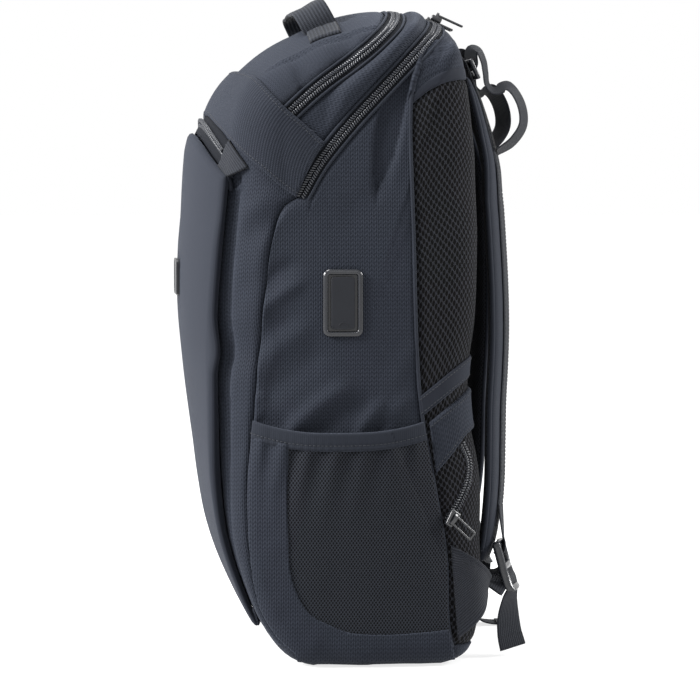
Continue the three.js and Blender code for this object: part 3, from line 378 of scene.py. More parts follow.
def at_height(line, z):
    """Where a rising side line passes a height."""
    return np.array([np.interp(z, line[:, 1], line[:, 0]), z])


def part_of(line, low, high, samples=60):
    """The stretch of a rising side line between two heights."""
    return np.array([at_height(line, z) for z in np.linspace(low, high, samples)])


# %% Following a side line over the hull
FINE = 4 * MM


def over_hull(line):
    """Points and normals from the bag's middle, where the line leaves its outline, to its end on the side."""
    shares = np.linspace(0, 1, len(line))

    def touch(share):
        y, z = (np.interp(share, shares, axis) for axis in line.T)
        return skin.meet((FAR, y, z), (-1, 0, 0))

    inside, step = 0.0, 0.01
    while inside + step <= 1 and touch(inside + step):
        inside += step
    outside = min(inside + step, 1.0)
    for _ in range(18):
        middle = (inside + outside) / 2
        if touch(middle):
            inside = middle
        else:
            outside = middle
    found = {share: touch(share) for share in (0.0, inside)}
    spans = [(0.0, inside)]
    while spans:
        a, b = spans.pop()
        if (found[a][0] - found[b][0]).length > FINE and b - a > 1e-7:
            middle = (a + b) / 2
            found[middle] = touch(middle)
            spans += [(a, middle), (middle, b)]
    ordered = [found[share] for share in sorted(found, reverse=True) if found[share]]
    return np.array([[*place, *normal] for place, normal in ordered])


def eased(count, tight=0.6, low=0.0, high=1.0):
    """Shares from 0 to 1 that lie closer together at the ends."""
    t = np.linspace(0, 1, count)
    return low + (high - low) * (t - tight * np.sin(2 * np.pi * t) / (2 * np.pi))


def course(line, columns, tight=0.6):
    """A side line's course right across the bag, from left to right, as points and normals."""
    right = over_hull(line)
    shares = eased(columns, tight, -1, 1)
    half = resampled(right, np.abs(shares))
    half[:, 0] *= np.sign(shares)
    half[:, 3] *= np.sign(shares)
    return half


print("front seam's course", len(over_hull(beside(REAR_ZIP, 0.006))), "points")

# %% [markdown]
# ## A panel of cloth
# A sewn panel is flat cloth that is stretched over foam: it swells a little between its seams and rolls down
# into them. Each one is a grid from create_grid, laid on the hull between its seams and lifted by a height map:
# the roll at its edges, its padding, its wrinkles and a little unevenness. Its UV map measures real metres along
# the cloth, so the weave has one scale everywhere. A Solidify modifier gives it its thickness.

# %% Grids of cloth
def lengths_over(points):
    """Metres along a grid's rows from its middle column, and square to them from its first row."""
    across = np.linalg.norm(np.diff(points, axis=1), axis=2)
    s = np.concatenate([np.zeros((len(points), 1)), np.cumsum(across, axis=1)], axis=1)
    s -= s[:, s.shape[1] // 2 : s.shape[1] // 2 + 1]
    run = np.gradient(points, axis=1)
    run /= np.linalg.norm(run, axis=2)[..., None] + 1e-12
    t = np.zeros(points.shape[:2])
    for j in range(1, len(points)):
        nearest = np.linalg.norm(points[j][:, None] - points[j - 1][None], axis=2).argmin(axis=1)
        gap = points[j] - points[j - 1][nearest]
        gap -= run[j - 1][nearest] * np.sum(gap * run[j - 1][nearest], axis=1)[:, None]
        t[j] = t[j - 1][nearest] + np.linalg.norm(gap, axis=1)
    return s, t


class Cloth:
    """A grid of points and normals on the hull, with its measures."""

    def __init__(self, points, normals):
        self.points, self.normals = np.array(points), np.array(normals)
        self.s, self.t = lengths_over(self.points)
        self.left = self.s - self.s[:, :1]
        self.right = self.s[:, -1:] - self.s
        self.low = self.t
        self.high = self.t[-1:] - self.t

    def edge(self, *sides):
        """The distance to the nearest of the named sides."""
        return np.minimum.reduce([getattr(self, side) for side in sides])

    def lifted(self, height):
        return self.points + self.normals * np.asarray(height)[..., None]

    @classmethod
    def over(cls, lines, columns, tight=0.6):
        """Rows of side lines, each followed across the bag."""
        rows = np.array([course(line, columns, tight) for line in lines])
        return cls(rows[..., :3], rows[..., 3:])


def roll(distance, width):
    """0 at an edge, rising as a quarter circle to 1 at the given distance from it."""
    x = np.clip(1 - np.asarray(distance) / width, 0, 1)
    return np.sqrt(1 - x**2)


def uneven(points, size, seed=0):
    """Soft random unevenness, about -1 to 1, with lumps of the given size."""
    shift = Vector((seed * 7.3, seed * 3.1, seed * 5.7))
    flat = points.reshape(-1, 3)
    values = [noise.noise(Vector(p) / size + shift) for p in flat]
    return np.array(values).reshape(points.shape[:-1])


def grid_mesh(points, s, t):
    """A bmesh grid moved to an array of points, with the UV map that the weave follows."""
    rows, columns = points.shape[:2]
    made = bmesh.new()
    bmesh.ops.create_grid(made, x_segments=columns - 1, y_segments=rows - 1, size=0.5)
    weave = made.loops.layers.uv.new("weave")
    spots = {}
    for vertex in made.verts:
        spot = (
            round((vertex.co.y + 0.5) * (rows - 1)),
            round((vertex.co.x + 0.5) * (columns - 1)),
        )
        spots[vertex] = spot
        vertex.co = points[spot]
    for face in made.faces:
        for loop in face.loops:
            loop[weave].uv = (s[spots[loop.vert]], t[spots[loop.vert]])
    return made


def face_out(made, outward):
    """Turns a sheet's faces so that most look the given way, a function of a place."""
    made.normal_update()
    if sum(f.normal.dot(outward(f.calc_center_median())) * f.calc_area() for f in made.faces) < 0:
        bmesh.ops.reverse_faces(made, faces=made.faces)


def mirrored(made):
    """The same shape for the other side of the bag."""
    bmesh.ops.scale(made, vec=(-1, 1, 1), verts=made.verts)
    bmesh.ops.reverse_faces(made, faces=made.faces)
    return made


def from_middle(place):
    return Vector((place.x, place.y, place.z - 0.5 * HEIGHT))


def laid_mesh(cloth, height):
    """A cloth's grid, lifted by its height map and turned to face outwards."""
    made = grid_mesh(cloth.lifted(height), cloth.s, cloth.t)
    face_out(made, from_middle)
    return made


def rounded(made, edges, width, segments=3):
    """Rounds edges to a width in a few segments."""
    bmesh.ops.bevel(
        made, geom=edges, offset=width, segments=segments, profile=0.5, affect="EDGES", material=-1
    )


SIDES = (("right", 1), ("left", -1))
triangles_made = {}


def piece(name, made, finish, slot, nodes=(), body="bag", thickness=0, bevel=0, crease=None):
    """An object made of a bmesh, with its finish, thickness, body and the solids it stands for."""
    mesh = bpy.data.meshes.new(name)
    made.to_mesh(mesh)
    made.free()
    mesh.shade_smooth()
    if crease is not None:
        mesh.set_sharp_from_angle(angle=math.radians(crease))
    mesh.materials.append(finish)
    thing = bpy.data.objects.new(name, mesh)
    bpy.context.scene.collection.objects.link(thing)
    if thickness:
        solid = thing.modifiers.new("cloth thickness", "SOLIDIFY")
        solid.thickness = thickness
        solid.offset = -1
    if bevel:
        edges = thing.modifiers.new("rounded edges", "BEVEL")
        edges.width = bevel
        edges.segments = 2
        edges.limit_method = "ANGLE"
    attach(thing, body)
    if nodes:
        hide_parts(*nodes)
    triangles_made[name] = sum(len(p.vertices) - 2 for p in mesh.polygons)
    return thing


def on_both_sides(name, make, finish, slot, nodes=(), **settings):
    """A piece on each side of the bag: made on the right, and mirrored for the left."""
    made_pieces = []
    for side, sign in SIDES:
        made = make()
        if sign < 0:
            mirrored(made)
        there = tuple(f"{node}_{side}" for node in nodes)
        made_pieces.append(piece(f"{name}_{side}", made, finish, slot, there, **settings))
    return made_pieces


def cloth_piece(name, cloth, height, finish, slot, nodes=(), thickness=2.2 * MM):
    """A panel that crosses the whole bag."""
    return piece(name, laid_mesh(cloth, height), finish, slot, nodes, thickness=thickness)


def declare_sheets(cloth):
    """Measures a sheet's flat size, which nothing uses."""
    flat = (float(np.ptp(cloth.s)), float(np.ptp(cloth.t)))

# %% [markdown]
# ## Finishes
# All the bag's finishes are patterns in numbers: ribs, threads, holes. To keep them readable, a small class
# wraps a socket, so that sums and products of values are written as Python and become Math nodes.

# %% A socket that takes part in sums
class Value:
    def __init__(self, finish, socket):
        self.finish, self.socket = finish, socket

    def math(self, operation, *others, clamp=False):
        settings = {"operation": operation, "use_clamp": clamp}
        return self.finish.node("ShaderNodeMath", settings, self, *others)

    def __add__(self, other):
        return self.math("ADD", other)

    def __radd__(self, other):
        return self.math("ADD", other)

    def __mul__(self, other):
        return self.math("MULTIPLY", other)

    def __rmul__(self, other):
        return self.math("MULTIPLY", other)

    def __sub__(self, other):
        return self.math("SUBTRACT", other)

    def __rsub__(self, other):
        return self.finish.node("ShaderNodeMath", {"operation": "SUBTRACT"}, other, self)

    def __truediv__(self, other):
        return self.math("DIVIDE", other)

    def wave(self, pitch):
        """0 to 1 and back over each pitch, smoothly."""
        return (self * (2 * math.pi / pitch)).math("COSINE") * -0.5 + 0.5

    def step(self, low, high):
        """0 below low, 1 above high, and smooth between."""
        settings = {"interpolation_type": "SMOOTHSTEP"}
        return self.finish.node("ShaderNodeMapRange", settings, self, low, high, 0.0, 1.0)

    def least(self, other):
        return self.math("MINIMUM", other)


class Finish:
    """One material: its nodes, and the places its shader takes changing values from."""

    def __init__(self, name, **constants):
        self.material = bpy.data.materials.new(name)
        self.material.use_nodes = True
        self.tree = self.material.node_tree
        self.shader = self.tree.nodes["Principled BSDF"]
        for socket, number in constants.items():
            self.shader.inputs[socket.replace("_", " ")].default_value = number

    def node(self, kind, settings=None, *values, output=0):
        made = self.tree.nodes.new(kind)
        for name, setting in (settings or {}).items():
            setattr(made, name, setting)
        sockets = [socket for socket in made.inputs if socket.enabled]
        for socket, value in zip(sockets, values):
            self.feed(socket, value)
        outputs = [socket for socket in made.outputs if socket.enabled]
        return Value(self, outputs[output])

    def feed(self, socket, value):
        if isinstance(value, Value):
            self.tree.links.new(value.socket, socket)
        elif value is not None:
            socket.default_value = value

    def along_cloth(self):
        """Metres across and along the cloth, from the piece's own UV map."""
        uv = self.node("ShaderNodeUVMap", {"uv_map": "weave"})
        return [self.node("ShaderNodeSeparateXYZ", None, uv, output=i) for i in (0, 1)]

    def in_space(self):
        return self.node("ShaderNodeTexCoord", None, output=3)

    def cloud(self, size, detail=3.0, where=None):
        """Soft noise about 0.5, with lumps of the given size in metres."""
        where = where or self.in_space()
        return self.node(
            "ShaderNodeTexNoise", {"noise_dimensions": "3D"}, where, 1 / size, detail, 0.5
        )

    def mix(self, share, dark, light):
        """The dark colour where share is 0 and the light one where it is 1."""
        return self.node("ShaderNodeMix", {"data_type": "RGBA"}, share, (*dark, 1), (*light, 1))

    def colour(self, value):
        self.feed(self.shader.inputs["Base Color"], value)

    def rough(self, value):
        self.feed(self.shader.inputs["Roughness"], value)

    def relief(self, height, depth, strength=1.0):
        """Bumps of a height from 0 to 1, which stands for a depth in metres."""
        made = self.tree.nodes.new("ShaderNodeBump")
        made.inputs["Strength"].default_value = strength
        made.inputs["Distance"].default_value = depth
        self.feed(made.inputs["Height"], height)
        self.tree.links.new(made.outputs["Normal"], self.shader.inputs["Normal"])


print("finishes can be written now")

# %% [markdown]
# ## Cloth finishes
# The body's cloth is a slate blue polyester with fine vertical ribs, each a row of short threads. The front
# panel is the same colour in a denser, smoother weave. Cloth is matt with a soft sheen at grazing angles, and
# its valleys are painted darker than its ribs: painted shade that follows the ribs' bumps.

# %% Ribbed slate cloth and the smooth panel cloth
def ribbed_cloth(name, rib, thread, dark, light, relief, sheen=0.05):
    finish = Finish(
        name,
        Roughness=0.75,
        Sheen_Weight=sheen,
        Sheen_Roughness=0.45,
        Sheen_Tint=(0.72, 0.8, 1.0, 1),
        Specular_IOR_Level=0.08,
    )
    s, t = finish.along_cloth()
    ribs = s.wave(rib)
    beads = (t + s.wave(2 * rib) * (thread / 2)).wave(thread)
    weave = ribs * 0.5 + beads * 0.5
    worn = finish.cloud(60 * MM) * 0.5 + finish.cloud(2.2 * MM, 1.0) * 0.5
    # The light colour follows the weave, so the rib valleys get painted shade and the rib tops stay lighter; the
    # clouds add random tone.
    share = (weave * 0.75 + worn * 0.5 - 0.12).math("ADD", 0, clamp=True)
    finish.colour(finish.mix(share, dark, light))
    finish.rough(0.9 - weave * 0.25 + (worn - 0.5) * 0.1)
    finish.relief(weave + (worn - 0.5) * 0.3, relief)
    return finish.material


SLATE = ribbed_cloth(
    "slate_cloth", 1.75 * MM, 3.2 * MM, (0.0055, 0.0066, 0.0095), (0.0165, 0.0195, 0.0275),
    0.34 * MM,
)
SMOOTH = ribbed_cloth(
    "panel_cloth", 0.9 * MM, 0.8 * MM, (0.0085, 0.0098, 0.0138), (0.0128, 0.0147, 0.0202),
    0.1 * MM,
)
SADDLE = ribbed_cloth(
    "saddle_cloth", 2.3 * MM, 1.1 * MM, (0.0058, 0.0068, 0.0098), (0.0158, 0.0185, 0.0258),
    0.4 * MM,
)
STRAP_FACE = ribbed_cloth(
    "strap_cloth", 1.2 * MM, 1.2 * MM, (0.0075, 0.0086, 0.012), (0.0145, 0.0167, 0.0228),
    0.2 * MM,
)

# %% Air mesh and pocket mesh
def holed_mesh(name, pitch, hole, dark, light, relief):
    """Staggered rows of oval holes between threads, given their pitch and half size across and along."""
    finish = Finish(name, Roughness=0.8, Sheen_Weight=0.02, Sheen_Roughness=0.5, Specular_IOR_Level=0.1)
    s, t = finish.along_cloth()
    reach = None
    for shift in (0.0, 0.5):
        a = ((s / pitch[0] + shift).math("FRACT") - 0.5) * (pitch[0] / hole[0])
        b = ((t / pitch[1] + shift).math("FRACT") - 0.5) * (pitch[1] / hole[1])
        near = (a * a + b * b).math("SQRT")
        reach = near if reach is None else reach.least(near)
    thread = reach.step(0.85, 1.3)
    fibres = finish.cloud(0.7 * MM, 2.0)
    # The holes take the near-black colour: partly the dark layer behind the mesh, partly painted shade inside
    # the holes.
    share = (thread * (fibres * 0.5 + 0.75)).math("ADD", 0, clamp=True)
    finish.colour(finish.mix(share, dark, light))
    finish.rough(0.95 - thread * 0.2)
    finish.relief(thread * (fibres * 0.3 + 0.85), relief)
    return finish.material


AIR_MESH = holed_mesh(
    "air_mesh", (4.8 * MM, 6.2 * MM), (1.25 * MM, 1.9 * MM), (0.0006, 0.0006, 0.0008),
    (0.0115, 0.0125, 0.0165), 1.2 * MM,
)
POCKET_MESH = holed_mesh(
    "pocket_mesh", (2.5 * MM, 3.5 * MM), (0.6 * MM, 0.8 * MM), (0.001, 0.0011, 0.0015),
    (0.0125, 0.0145, 0.0195), 0.5 * MM,
)
STRAP_MESH = holed_mesh(
    "strap_mesh", (2.8 * MM, 3.6 * MM), (0.55 * MM, 0.85 * MM), (0.001, 0.0011, 0.0014),
    (0.0125, 0.014, 0.018), 0.5 * MM,
)

# %% Ribbed webbing
def webbing_finish(name, rib, dark, light):
    finish = Finish(name, Roughness=0.7, Sheen_Weight=0.05, Sheen_Roughness=0.4, Specular_IOR_Level=0.12)
    s, t = finish.along_cloth()
    ribs = s.wave(rib)
    picks = (t + s.wave(2 * rib) * 0.0006).wave(0.0012)
    weave = ribs * 0.75 + picks * 0.25
    worn = finish.cloud(1.5 * MM, 2.0)
    # The rib valleys are painted darker than the rib tops as painted shade; the cloud adds random tone.
    share = (weave * 0.7 + worn * 0.6 - 0.15).math("ADD", 0, clamp=True)
    finish.colour(finish.mix(share, dark, light))
    finish.rough(0.85 - weave * 0.2)
    finish.relief(weave, 0.35 * MM)
    return finish.material


WEBBING = webbing_finish("ribbed_webbing", 1.9 * MM, (0.0035, 0.0041, 0.0057), (0.0145, 0.0165, 0.0222))
HANDLE_CLOTH = webbing_finish("handle_webbing", 2.7 * MM, (0.004, 0.0047, 0.0063), (0.018, 0.0205, 0.027))

# %% Plastic, lacquered metal and zip
def moulded(name, colour, roughness, grain=0.35 * MM, depth=0.03 * MM, **constants):
    finish = Finish(name, **{"Specular_IOR_Level": 0.3, **constants})
    speckle = finish.cloud(grain, 2.0)
    wear = finish.cloud(18 * MM)
    dark = tuple(0.85 * c for c in colour)
    light = tuple(1.15 * c for c in colour)
    finish.colour(finish.mix(wear, dark, light))
    finish.rough(speckle * 0.12 + wear * 0.1 + (roughness - 0.11))
    finish.relief(speckle, depth)
    return finish.material


PLASTIC = moulded("plastic", (0.0055, 0.0062, 0.0082), 0.34)
BEZEL_PLASTIC = moulded("bezel_plastic", (0.006, 0.0069, 0.0095), 0.24, Specular_IOR_Level=0.5)
COVER_PLASTIC = moulded("port_cover", (0.0065, 0.0074, 0.01), 0.42, Specular_IOR_Level=0.2)
BUCKLE_PLASTIC = moulded("buckle_plastic", (0.0105, 0.012, 0.0155), 0.24, Specular_IOR_Level=0.5)
ZIP_METAL = moulded("zip_metal", (0.009, 0.0098, 0.012), 0.25, Specular_IOR_Level=0.6)
COIL = moulded("zip_coil", (0.011, 0.0127, 0.0172), 0.28, Specular_IOR_Level=0.45)
# The socket's near-black colour is painted shade for the depth of the port.
SOCKET_SHADE = moulded("socket_painted_shade", (0.004, 0.004, 0.005), 0.6)
TAPE = ribbed_cloth(
    "zip_tape", 1.0 * MM, 0.9 * MM, (0.0018, 0.0021, 0.003), (0.0055, 0.0064, 0.0088), 0.15 * MM,
    0.02,
)
THREAD = moulded("thread", (0.0105, 0.0122, 0.0168), 0.6, grain=0.2 * MM)
BINDING = ribbed_cloth(
    "binding_cloth", 1.5 * MM, 0.9 * MM, (0.007, 0.0082, 0.0114), (0.0145, 0.0168, 0.023),
    0.12 * MM,
)
PIPING = ribbed_cloth(
    "piping", 0.8 * MM, 0.8 * MM, (0.008, 0.0093, 0.0128), (0.0145, 0.0168, 0.023), 0.08 * MM,
)
print("finishes", len(bpy.data.materials))

# %% [markdown]
# ## Side panels
# The two sides are one big cut of ribbed cloth over thin foam, from the front seam to the back's piping and
# from the base to the rear zip. The real one isn't tight: soft diagonal creases run up from the front seam to
# the back, strongest above the pocket. A patch between four edge lines gives the grid. The creases are laid
# one by one, each a ridge or a valley along a short line that fades at its ends.

# %% Side panels
ZIP_HALF = 6.3 * MM
ROLL = 6.5 * MM
SEAM_DEPTH = 4.0 * MM
SIDE_COLUMNS, SIDE_ROWS = 92, 150
CREASES = (
    # from y, z to y, z in millimetres, how wide it is and how high, less than 0 for a valley
    (-90, 258, -46, 294, 5.5, 2.5),
    (-86, 280, -52, 308, 6, -2.0),
    (-90, 238, -52, 268, 7, -1.5),
    (-92, 218, -38, 262, 8, 1.8),
    (-84, 200, -30, 240, 9, -1.8),
    (-66, 172, -12, 216, 6.5, 3.2),
    (-84, 188, -58, 178, 8, -2.4),
    (-92, 196, -74, 207, 5, 1.5),
    (-44, 170, 6, 206, 8, -2.1),
    (-10, 170, 14, 204, 4.5, 2.1),
    (4, 170, 24, 192, 4, -1.8),
    (14, 180, 36, 208, 5, 1.5),
    (-96, 140, -30, 158, 9, 1.2),
    (-76, 330, -40, 352, 9, 1.0),
    (-20, 330, 26, 372, 12, -0.9),
    (20, 210, 40, 250, 7, 0.9),
)


def crease_height(y, z, creases=CREASES):
    """How far the creases lift the cloth at places on the side view."""
    total = np.zeros_like(y)
    for y0, z0, y1, z1, width, height in creases:
        ay, az, by, bz = (v * MM for v in (y0, z0, y1, z1))
        length = math.hypot(by - ay, bz - az)
        along = ((y - ay) * (by - ay) + (z - az) * (bz - az)) / length**2
        off = ((y - ay) * (bz - az) - (z - az) * (by - ay)) / length
        off = off + 3 * MM * np.sin(np.clip(along, 0, 1) * math.pi)
        fade = np.exp(-(np.maximum(np.abs(along - 0.5) * 2 - 0.55, 0) ** 2) / 0.12)
        total += height * MM * fade * np.exp(-((off / (width * MM)) ** 2))
    return total


def side_patch(low, high, front, rear, columns, rows):
    """A grid on the right side between four edge lines, each from its low or front end."""
    u, v = eased(columns), eased(rows, 0.5)
    edge = [resampled(line, shares) for line, shares in ((low, u), (high, u), (front, v), (rear, v))]
    low_e, high_e, front_e, rear_e = edge
    uu, vv = u[None, :, None], v[:, None, None]
    flat = (
        (1 - vv) * low_e[None] + vv * high_e[None] + (1 - uu) * front_e[:, None] + uu * rear_e[:, None]
        - (1 - uu) * (1 - vv) * low_e[0] - uu * (1 - vv) * low_e[-1]
        - (1 - uu) * vv * high_e[0] - uu * vv * high_e[-1]
    )
    found = np.zeros((rows, columns, 6))
    for j in range(rows):
        for i in range(columns):
            y, z = flat[j, i]
            hit = skin.meet((FAR, y, z), (-1, 0, 0)) or skin.nearest((WIDTH / 2, y, z))
            found[j, i] = [*hit[0], *hit[1]]
    cloth = Cloth(found[..., :3], found[..., 3:])
    cloth.s, cloth.t = flat[..., 0], flat[..., 1]
    return cloth


zip_edge = beside(REAR_ZIP, -ZIP_HALF)
top_front, top_rear = at_height(FRONT_SEAM, 0.655 * HEIGHT), at_height(REAR_SEAM, 0.955 * HEIGHT)
corner = FRONT_SEAM[(FRONT_SEAM[:, 1] > top_front[1]) & (FRONT_SEAM[:, 0] < zip_edge[0][0] - 4 * MM)]
zip_part = zip_edge[(zip_edge[:, 0] < top_rear[0]) & (zip_edge[:, 1] > corner[-1][1])]
side_top = np.concatenate([[top_front], corner, zip_part, [top_rear]])
side_front = part_of(FRONT_SEAM, BASE_EDGE, top_front[1])
side_rear = part_of(REAR_SEAM, BASE_EDGE, top_rear[1])
side_low = np.linspace(side_front[0], side_rear[0], 60)
side = side_patch(side_low, side_top, side_front, side_rear, SIDE_COLUMNS, SIDE_ROWS)
side_y, side_z = side.points[..., 1], side.points[..., 2]
side_height = (
    SEAM_DEPTH * (roll(side.edge("left", "right", "low", "high"), ROLL) - 1)
    + crease_height(side_y, side_z)
    + 0.5 * MM * uneven(side.points, 55 * MM, 1)
    + 0.22 * MM * uneven(side.points, 16 * MM, 2)
)


# The cloth is pressed down into a well under the charging port, which is on the right side alone.
port_low, port_high = (Vector(corner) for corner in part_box("usb_bezel"))
port_middle = (port_low + port_high) / 2
WELL_WIDTH, WELL_HEIGHT, WELL_DEPTH, WELL_SLOPE = 24 * MM, 44 * MM, 6 * MM, 3 * MM
well = WELL_DEPTH * np.clip((WELL_WIDTH / 2 - np.abs(side_y - port_middle.y)) / WELL_SLOPE, 0, 1)
well *= np.clip((WELL_HEIGHT / 2 - np.abs(side_z - port_middle.z)) / WELL_SLOPE, 0, 1)
wells_of_sides = iter((well, 0))


def side_mesh():
    return laid_mesh(side, side_height - next(wells_of_sides))


for panel in on_both_sides(
    "side_cloth", side_mesh, SLATE, "slate_cloth", ("side_panel",), thickness=2.2 * MM
):
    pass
print("side panel", triangles_made["side_cloth_right"], "triangles")

# %% [markdown]
# ## Lid, gussets and base
# These panels run right across the bag between two seams, so each is a set of rows: the lower seam, the upper
# one, and side lines blended between them. The strip between the two zips is padded most and stands up as a
# soft roll. The lid has a crease on each side, where its top is sewn to its side.

# %% Panels that cross the bag
def between(low, high, rows, start=None, tight=0.5):
    """Side lines blended from one seam to another, starting on a side edge where one is given."""
    lines = []
    for share in eased(rows, tight):
        line = (1 - share) * low + share * high
        if start is not None:
            shift = start(line[0][1]) - line[0][0]
            fade = np.clip(1 - np.arange(len(line)) / 24, 0, 1)
            line = line + np.stack([shift * fade, np.zeros(len(line))], axis=1)
        lines.append(line)
    return lines


def seam_y(seam):
    return lambda z: float(np.interp(z, seam[:, 1], seam[:, 0]))


lid = Cloth.over(between(LID_SEAM, beside(MIDDLE_ZIP, ZIP_HALF), 44), 150)
fold = np.exp(-(((np.abs(lid.points[..., 0]) - 119 * MM) / (2.2 * MM)) ** 2))
ridge = np.exp(-(((np.abs(lid.points[..., 0]) - 114.5 * MM) / (2.6 * MM)) ** 2))
behind_band = np.clip((lid.points[..., 1] + 0.078) / 0.02, 0, 1)
lid_height = (
    SEAM_DEPTH * (roll(lid.edge("low", "high"), ROLL) - 1)
    + behind_band * MM * (1.5 * ridge - 2.2 * fold)
    + 0.5 * MM * uneven(lid.points, 40 * MM, 3)
)
lid_piece = cloth_piece("lid_cloth", lid, lid_height, SLATE, "slate_cloth", ("lid_panel",))

middle = Cloth.over(between(beside(REAR_ZIP, ZIP_HALF), beside(MIDDLE_ZIP, -ZIP_HALF), 30), 180)
width_share = middle.t / middle.t[-1:]
UNDER_BAND, CROWN_FADE = 46 * MM, 18 * MM
swell = np.clip((middle.edge("left", "right") - UNDER_BAND) / CROWN_FADE, 0, 1)
middle_height = (
    SEAM_DEPTH * (roll(middle.edge("low", "high"), 7 * MM) - 1)
    + 4.2 * MM * np.sin(np.pi * width_share) * swell
    + 0.6 * MM * uneven(middle.points, 30 * MM, 4)
)
middle_piece = cloth_piece(
    "middle_cloth", middle, middle_height, SLATE, "slate_cloth", ("middle_gusset",)
)

# %% The front of the body, behind the front panel
FRONT_ROWS = 70


def front_lines():
    lines = []
    lid_end = LID_SEAM[0]
    seam_end = FRONT_SEAM[-1]
    for share in eased(FRONT_ROWS, 0.5):
        z = BASE_EDGE + share * (lid_end[1] - BASE_EDGE)
        if z <= seam_end[1]:
            start = at_height(FRONT_SEAM, z)
        else:
            start = seam_end + (lid_end - seam_end) * (z - seam_end[1]) / (lid_end[1] - seam_end[1])
        rise = share**6 * (LID_SEAM[-1][1] - lid_end[1])
        reach = LID_SEAM[:, 0] - lid_end[0]
        rises = (LID_SEAM[:, 1] - lid_end[1]) / (LID_SEAM[-1][1] - lid_end[1])
        lines.append(np.stack([start[0] + reach, start[1] + rise * rises], axis=1))
    return lines


PANEL_HALF, PANEL_LOW = 122 * MM, 32 * MM
FRONT_CREASES = (
    # the same columns as for the side panel
    (-97, 337, -62, 356, 6, 1.6), (-95, 322, -64, 338, 6, -1.5), (-84, 296, -70, 330, 5, 1.0),
    (-100, 262, -84, 300, 7, -0.9), (-104, 200, -92, 244, 7, 0.8), (-98, 150, -86, 190, 8, -0.8),
)
front = Cloth.over(front_lines(), 150, 0.85)
front_x, front_y, front_z = np.moveaxis(front.points, 2, 0)
beside_panel = np.exp(-(((np.abs(front_x) - PANEL_HALF - 3.5 * MM) / (4.2 * MM)) ** 2))
beside_panel *= np.clip((front_z - 50 * MM) / (90 * MM), 0, 1)
beside_panel *= np.clip((382 * MM - front_z) / (14 * MM), 0, 1)
front_height = (
    crease_height(front_y, front_z, FRONT_CREASES)
    - 5.5 * MM * beside_panel
    + SEAM_DEPTH * (roll(front.edge("left", "right"), ROLL) - 1)
    + 0.7 * MM * uneven(front.points * [1, 1, 0.6], 36 * MM, 5)
    + 0.25 * MM * uneven(front.points, 12 * MM, 6)
)
front_piece = cloth_piece("front_cloth", front, front_height, SLATE, "slate_cloth", ("front_gusset",))


# %% The base, with its edge turned up to meet the sides
def base_cloth():
    """A grid over the underside, from the turned-up edge at the front to the one at the back."""
    columns, rows = 56, 46
    u, v = eased(columns, 0.75, -1, 1), eased(rows, 0.75, -1, 1)
    y_front, y_rear = FRONT_SEAM[0][0] - 46 * MM, 0.415 * DEPTH
    found = np.zeros((rows, columns, 6))
    for j, b in enumerate(v):
        for i, a in enumerate(u):
            x, y = a * math.sqrt(1 - b * b / 2.6), b * math.sqrt(1 - a * a / 2.6)
            edge = max(abs(a), abs(b))
            at = Vector((x * 0.175, (y_front + y_rear) / 2 + y * 0.62 * (y_rear - y_front), 0))
            at.z = BASE_EDGE * edge**10
            core = Vector(
                (
                    min(max(at.x, -0.11), 0.11),
                    min(max(at.y, -0.06), 0.04),
                    0.05,
                )
            )
            place, normal = skin.meet(core, (at - core).normalized())
            if place.z > BASE_EDGE:
                place, normal = skin.meet(core, (Vector((place.x, place.y, BASE_EDGE)) - core).normalized())
            found[j, i] = [*place, *normal]
    return Cloth(found[..., :3], found[..., 3:])


base = base_cloth()
base_height = np.zeros(base.s.shape)
base_piece = cloth_piece("base_cloth", base, base_height, SLATE, "slate_cloth", ("base_panel",))
print("lid", triangles_made["lid_cloth"], "middle", triangles_made["middle_cloth"])

# %% [markdown]
# ## The back
# The back is foam under air mesh. A thick pad stands against the wearer's back, a lumbar pad below it stands out
# more, and a smooth strip of cloth crosses between them. Their mesh sides are what the side view shows, and
# from behind a channel down the middle and sewn grooves let air through.

# %% Back panels
BACK_COLUMNS = 150


def back_lines(low, high, rows):
    return between(low, high, rows, start=seam_y(REAR_SEAM))


def flat_line(z, start, end=0.7 * DEPTH):
    return np.linspace([start, z], [end, z], 60)


yoke_top = np.concatenate([[REAR_SEAM[-1]], REAR_ZIP[REAR_ZIP[:, 0] > REAR_SEAM[-1][0]]])
yoke_top = resampled(beside(yoke_top, -ZIP_HALF * 0.8), np.linspace(0, 1, 60))
yoke = Cloth.over(back_lines(YOKE_SEAM, yoke_top, 30), BACK_COLUMNS)
folds = 0.3 * MM * np.sin(yoke.t / (8.5 * MM) * 2 * math.pi + yoke.left * 18) * np.exp(
    -yoke.edge("left", "right") / (55 * MM)
)
yoke_height = (
    SEAM_DEPTH * (roll(yoke.edge("left", "right", "low", "high"), ROLL) - 1)
    + folds
    + 0.5 * MM * uneven(yoke.points, 25 * MM, 7)
)
yoke_piece = cloth_piece("yoke_cloth", yoke, yoke_height, SLATE, "slate_cloth", ("back_yoke",))
yoke_hem = Cloth.over(back_lines(beside(YOKE_SEAM, -1 * MM), beside(YOKE_SEAM, 8.5 * MM), 12), BACK_COLUMNS)
hem_height = 1.5 * MM * roll(yoke_hem.edge("left", "right", "low", "high"), 2 * MM) - 1.2 * MM
cloth_piece("yoke_hem", yoke_hem, hem_height, SMOOTH, "panel_cloth", thickness=1.2 * MM)


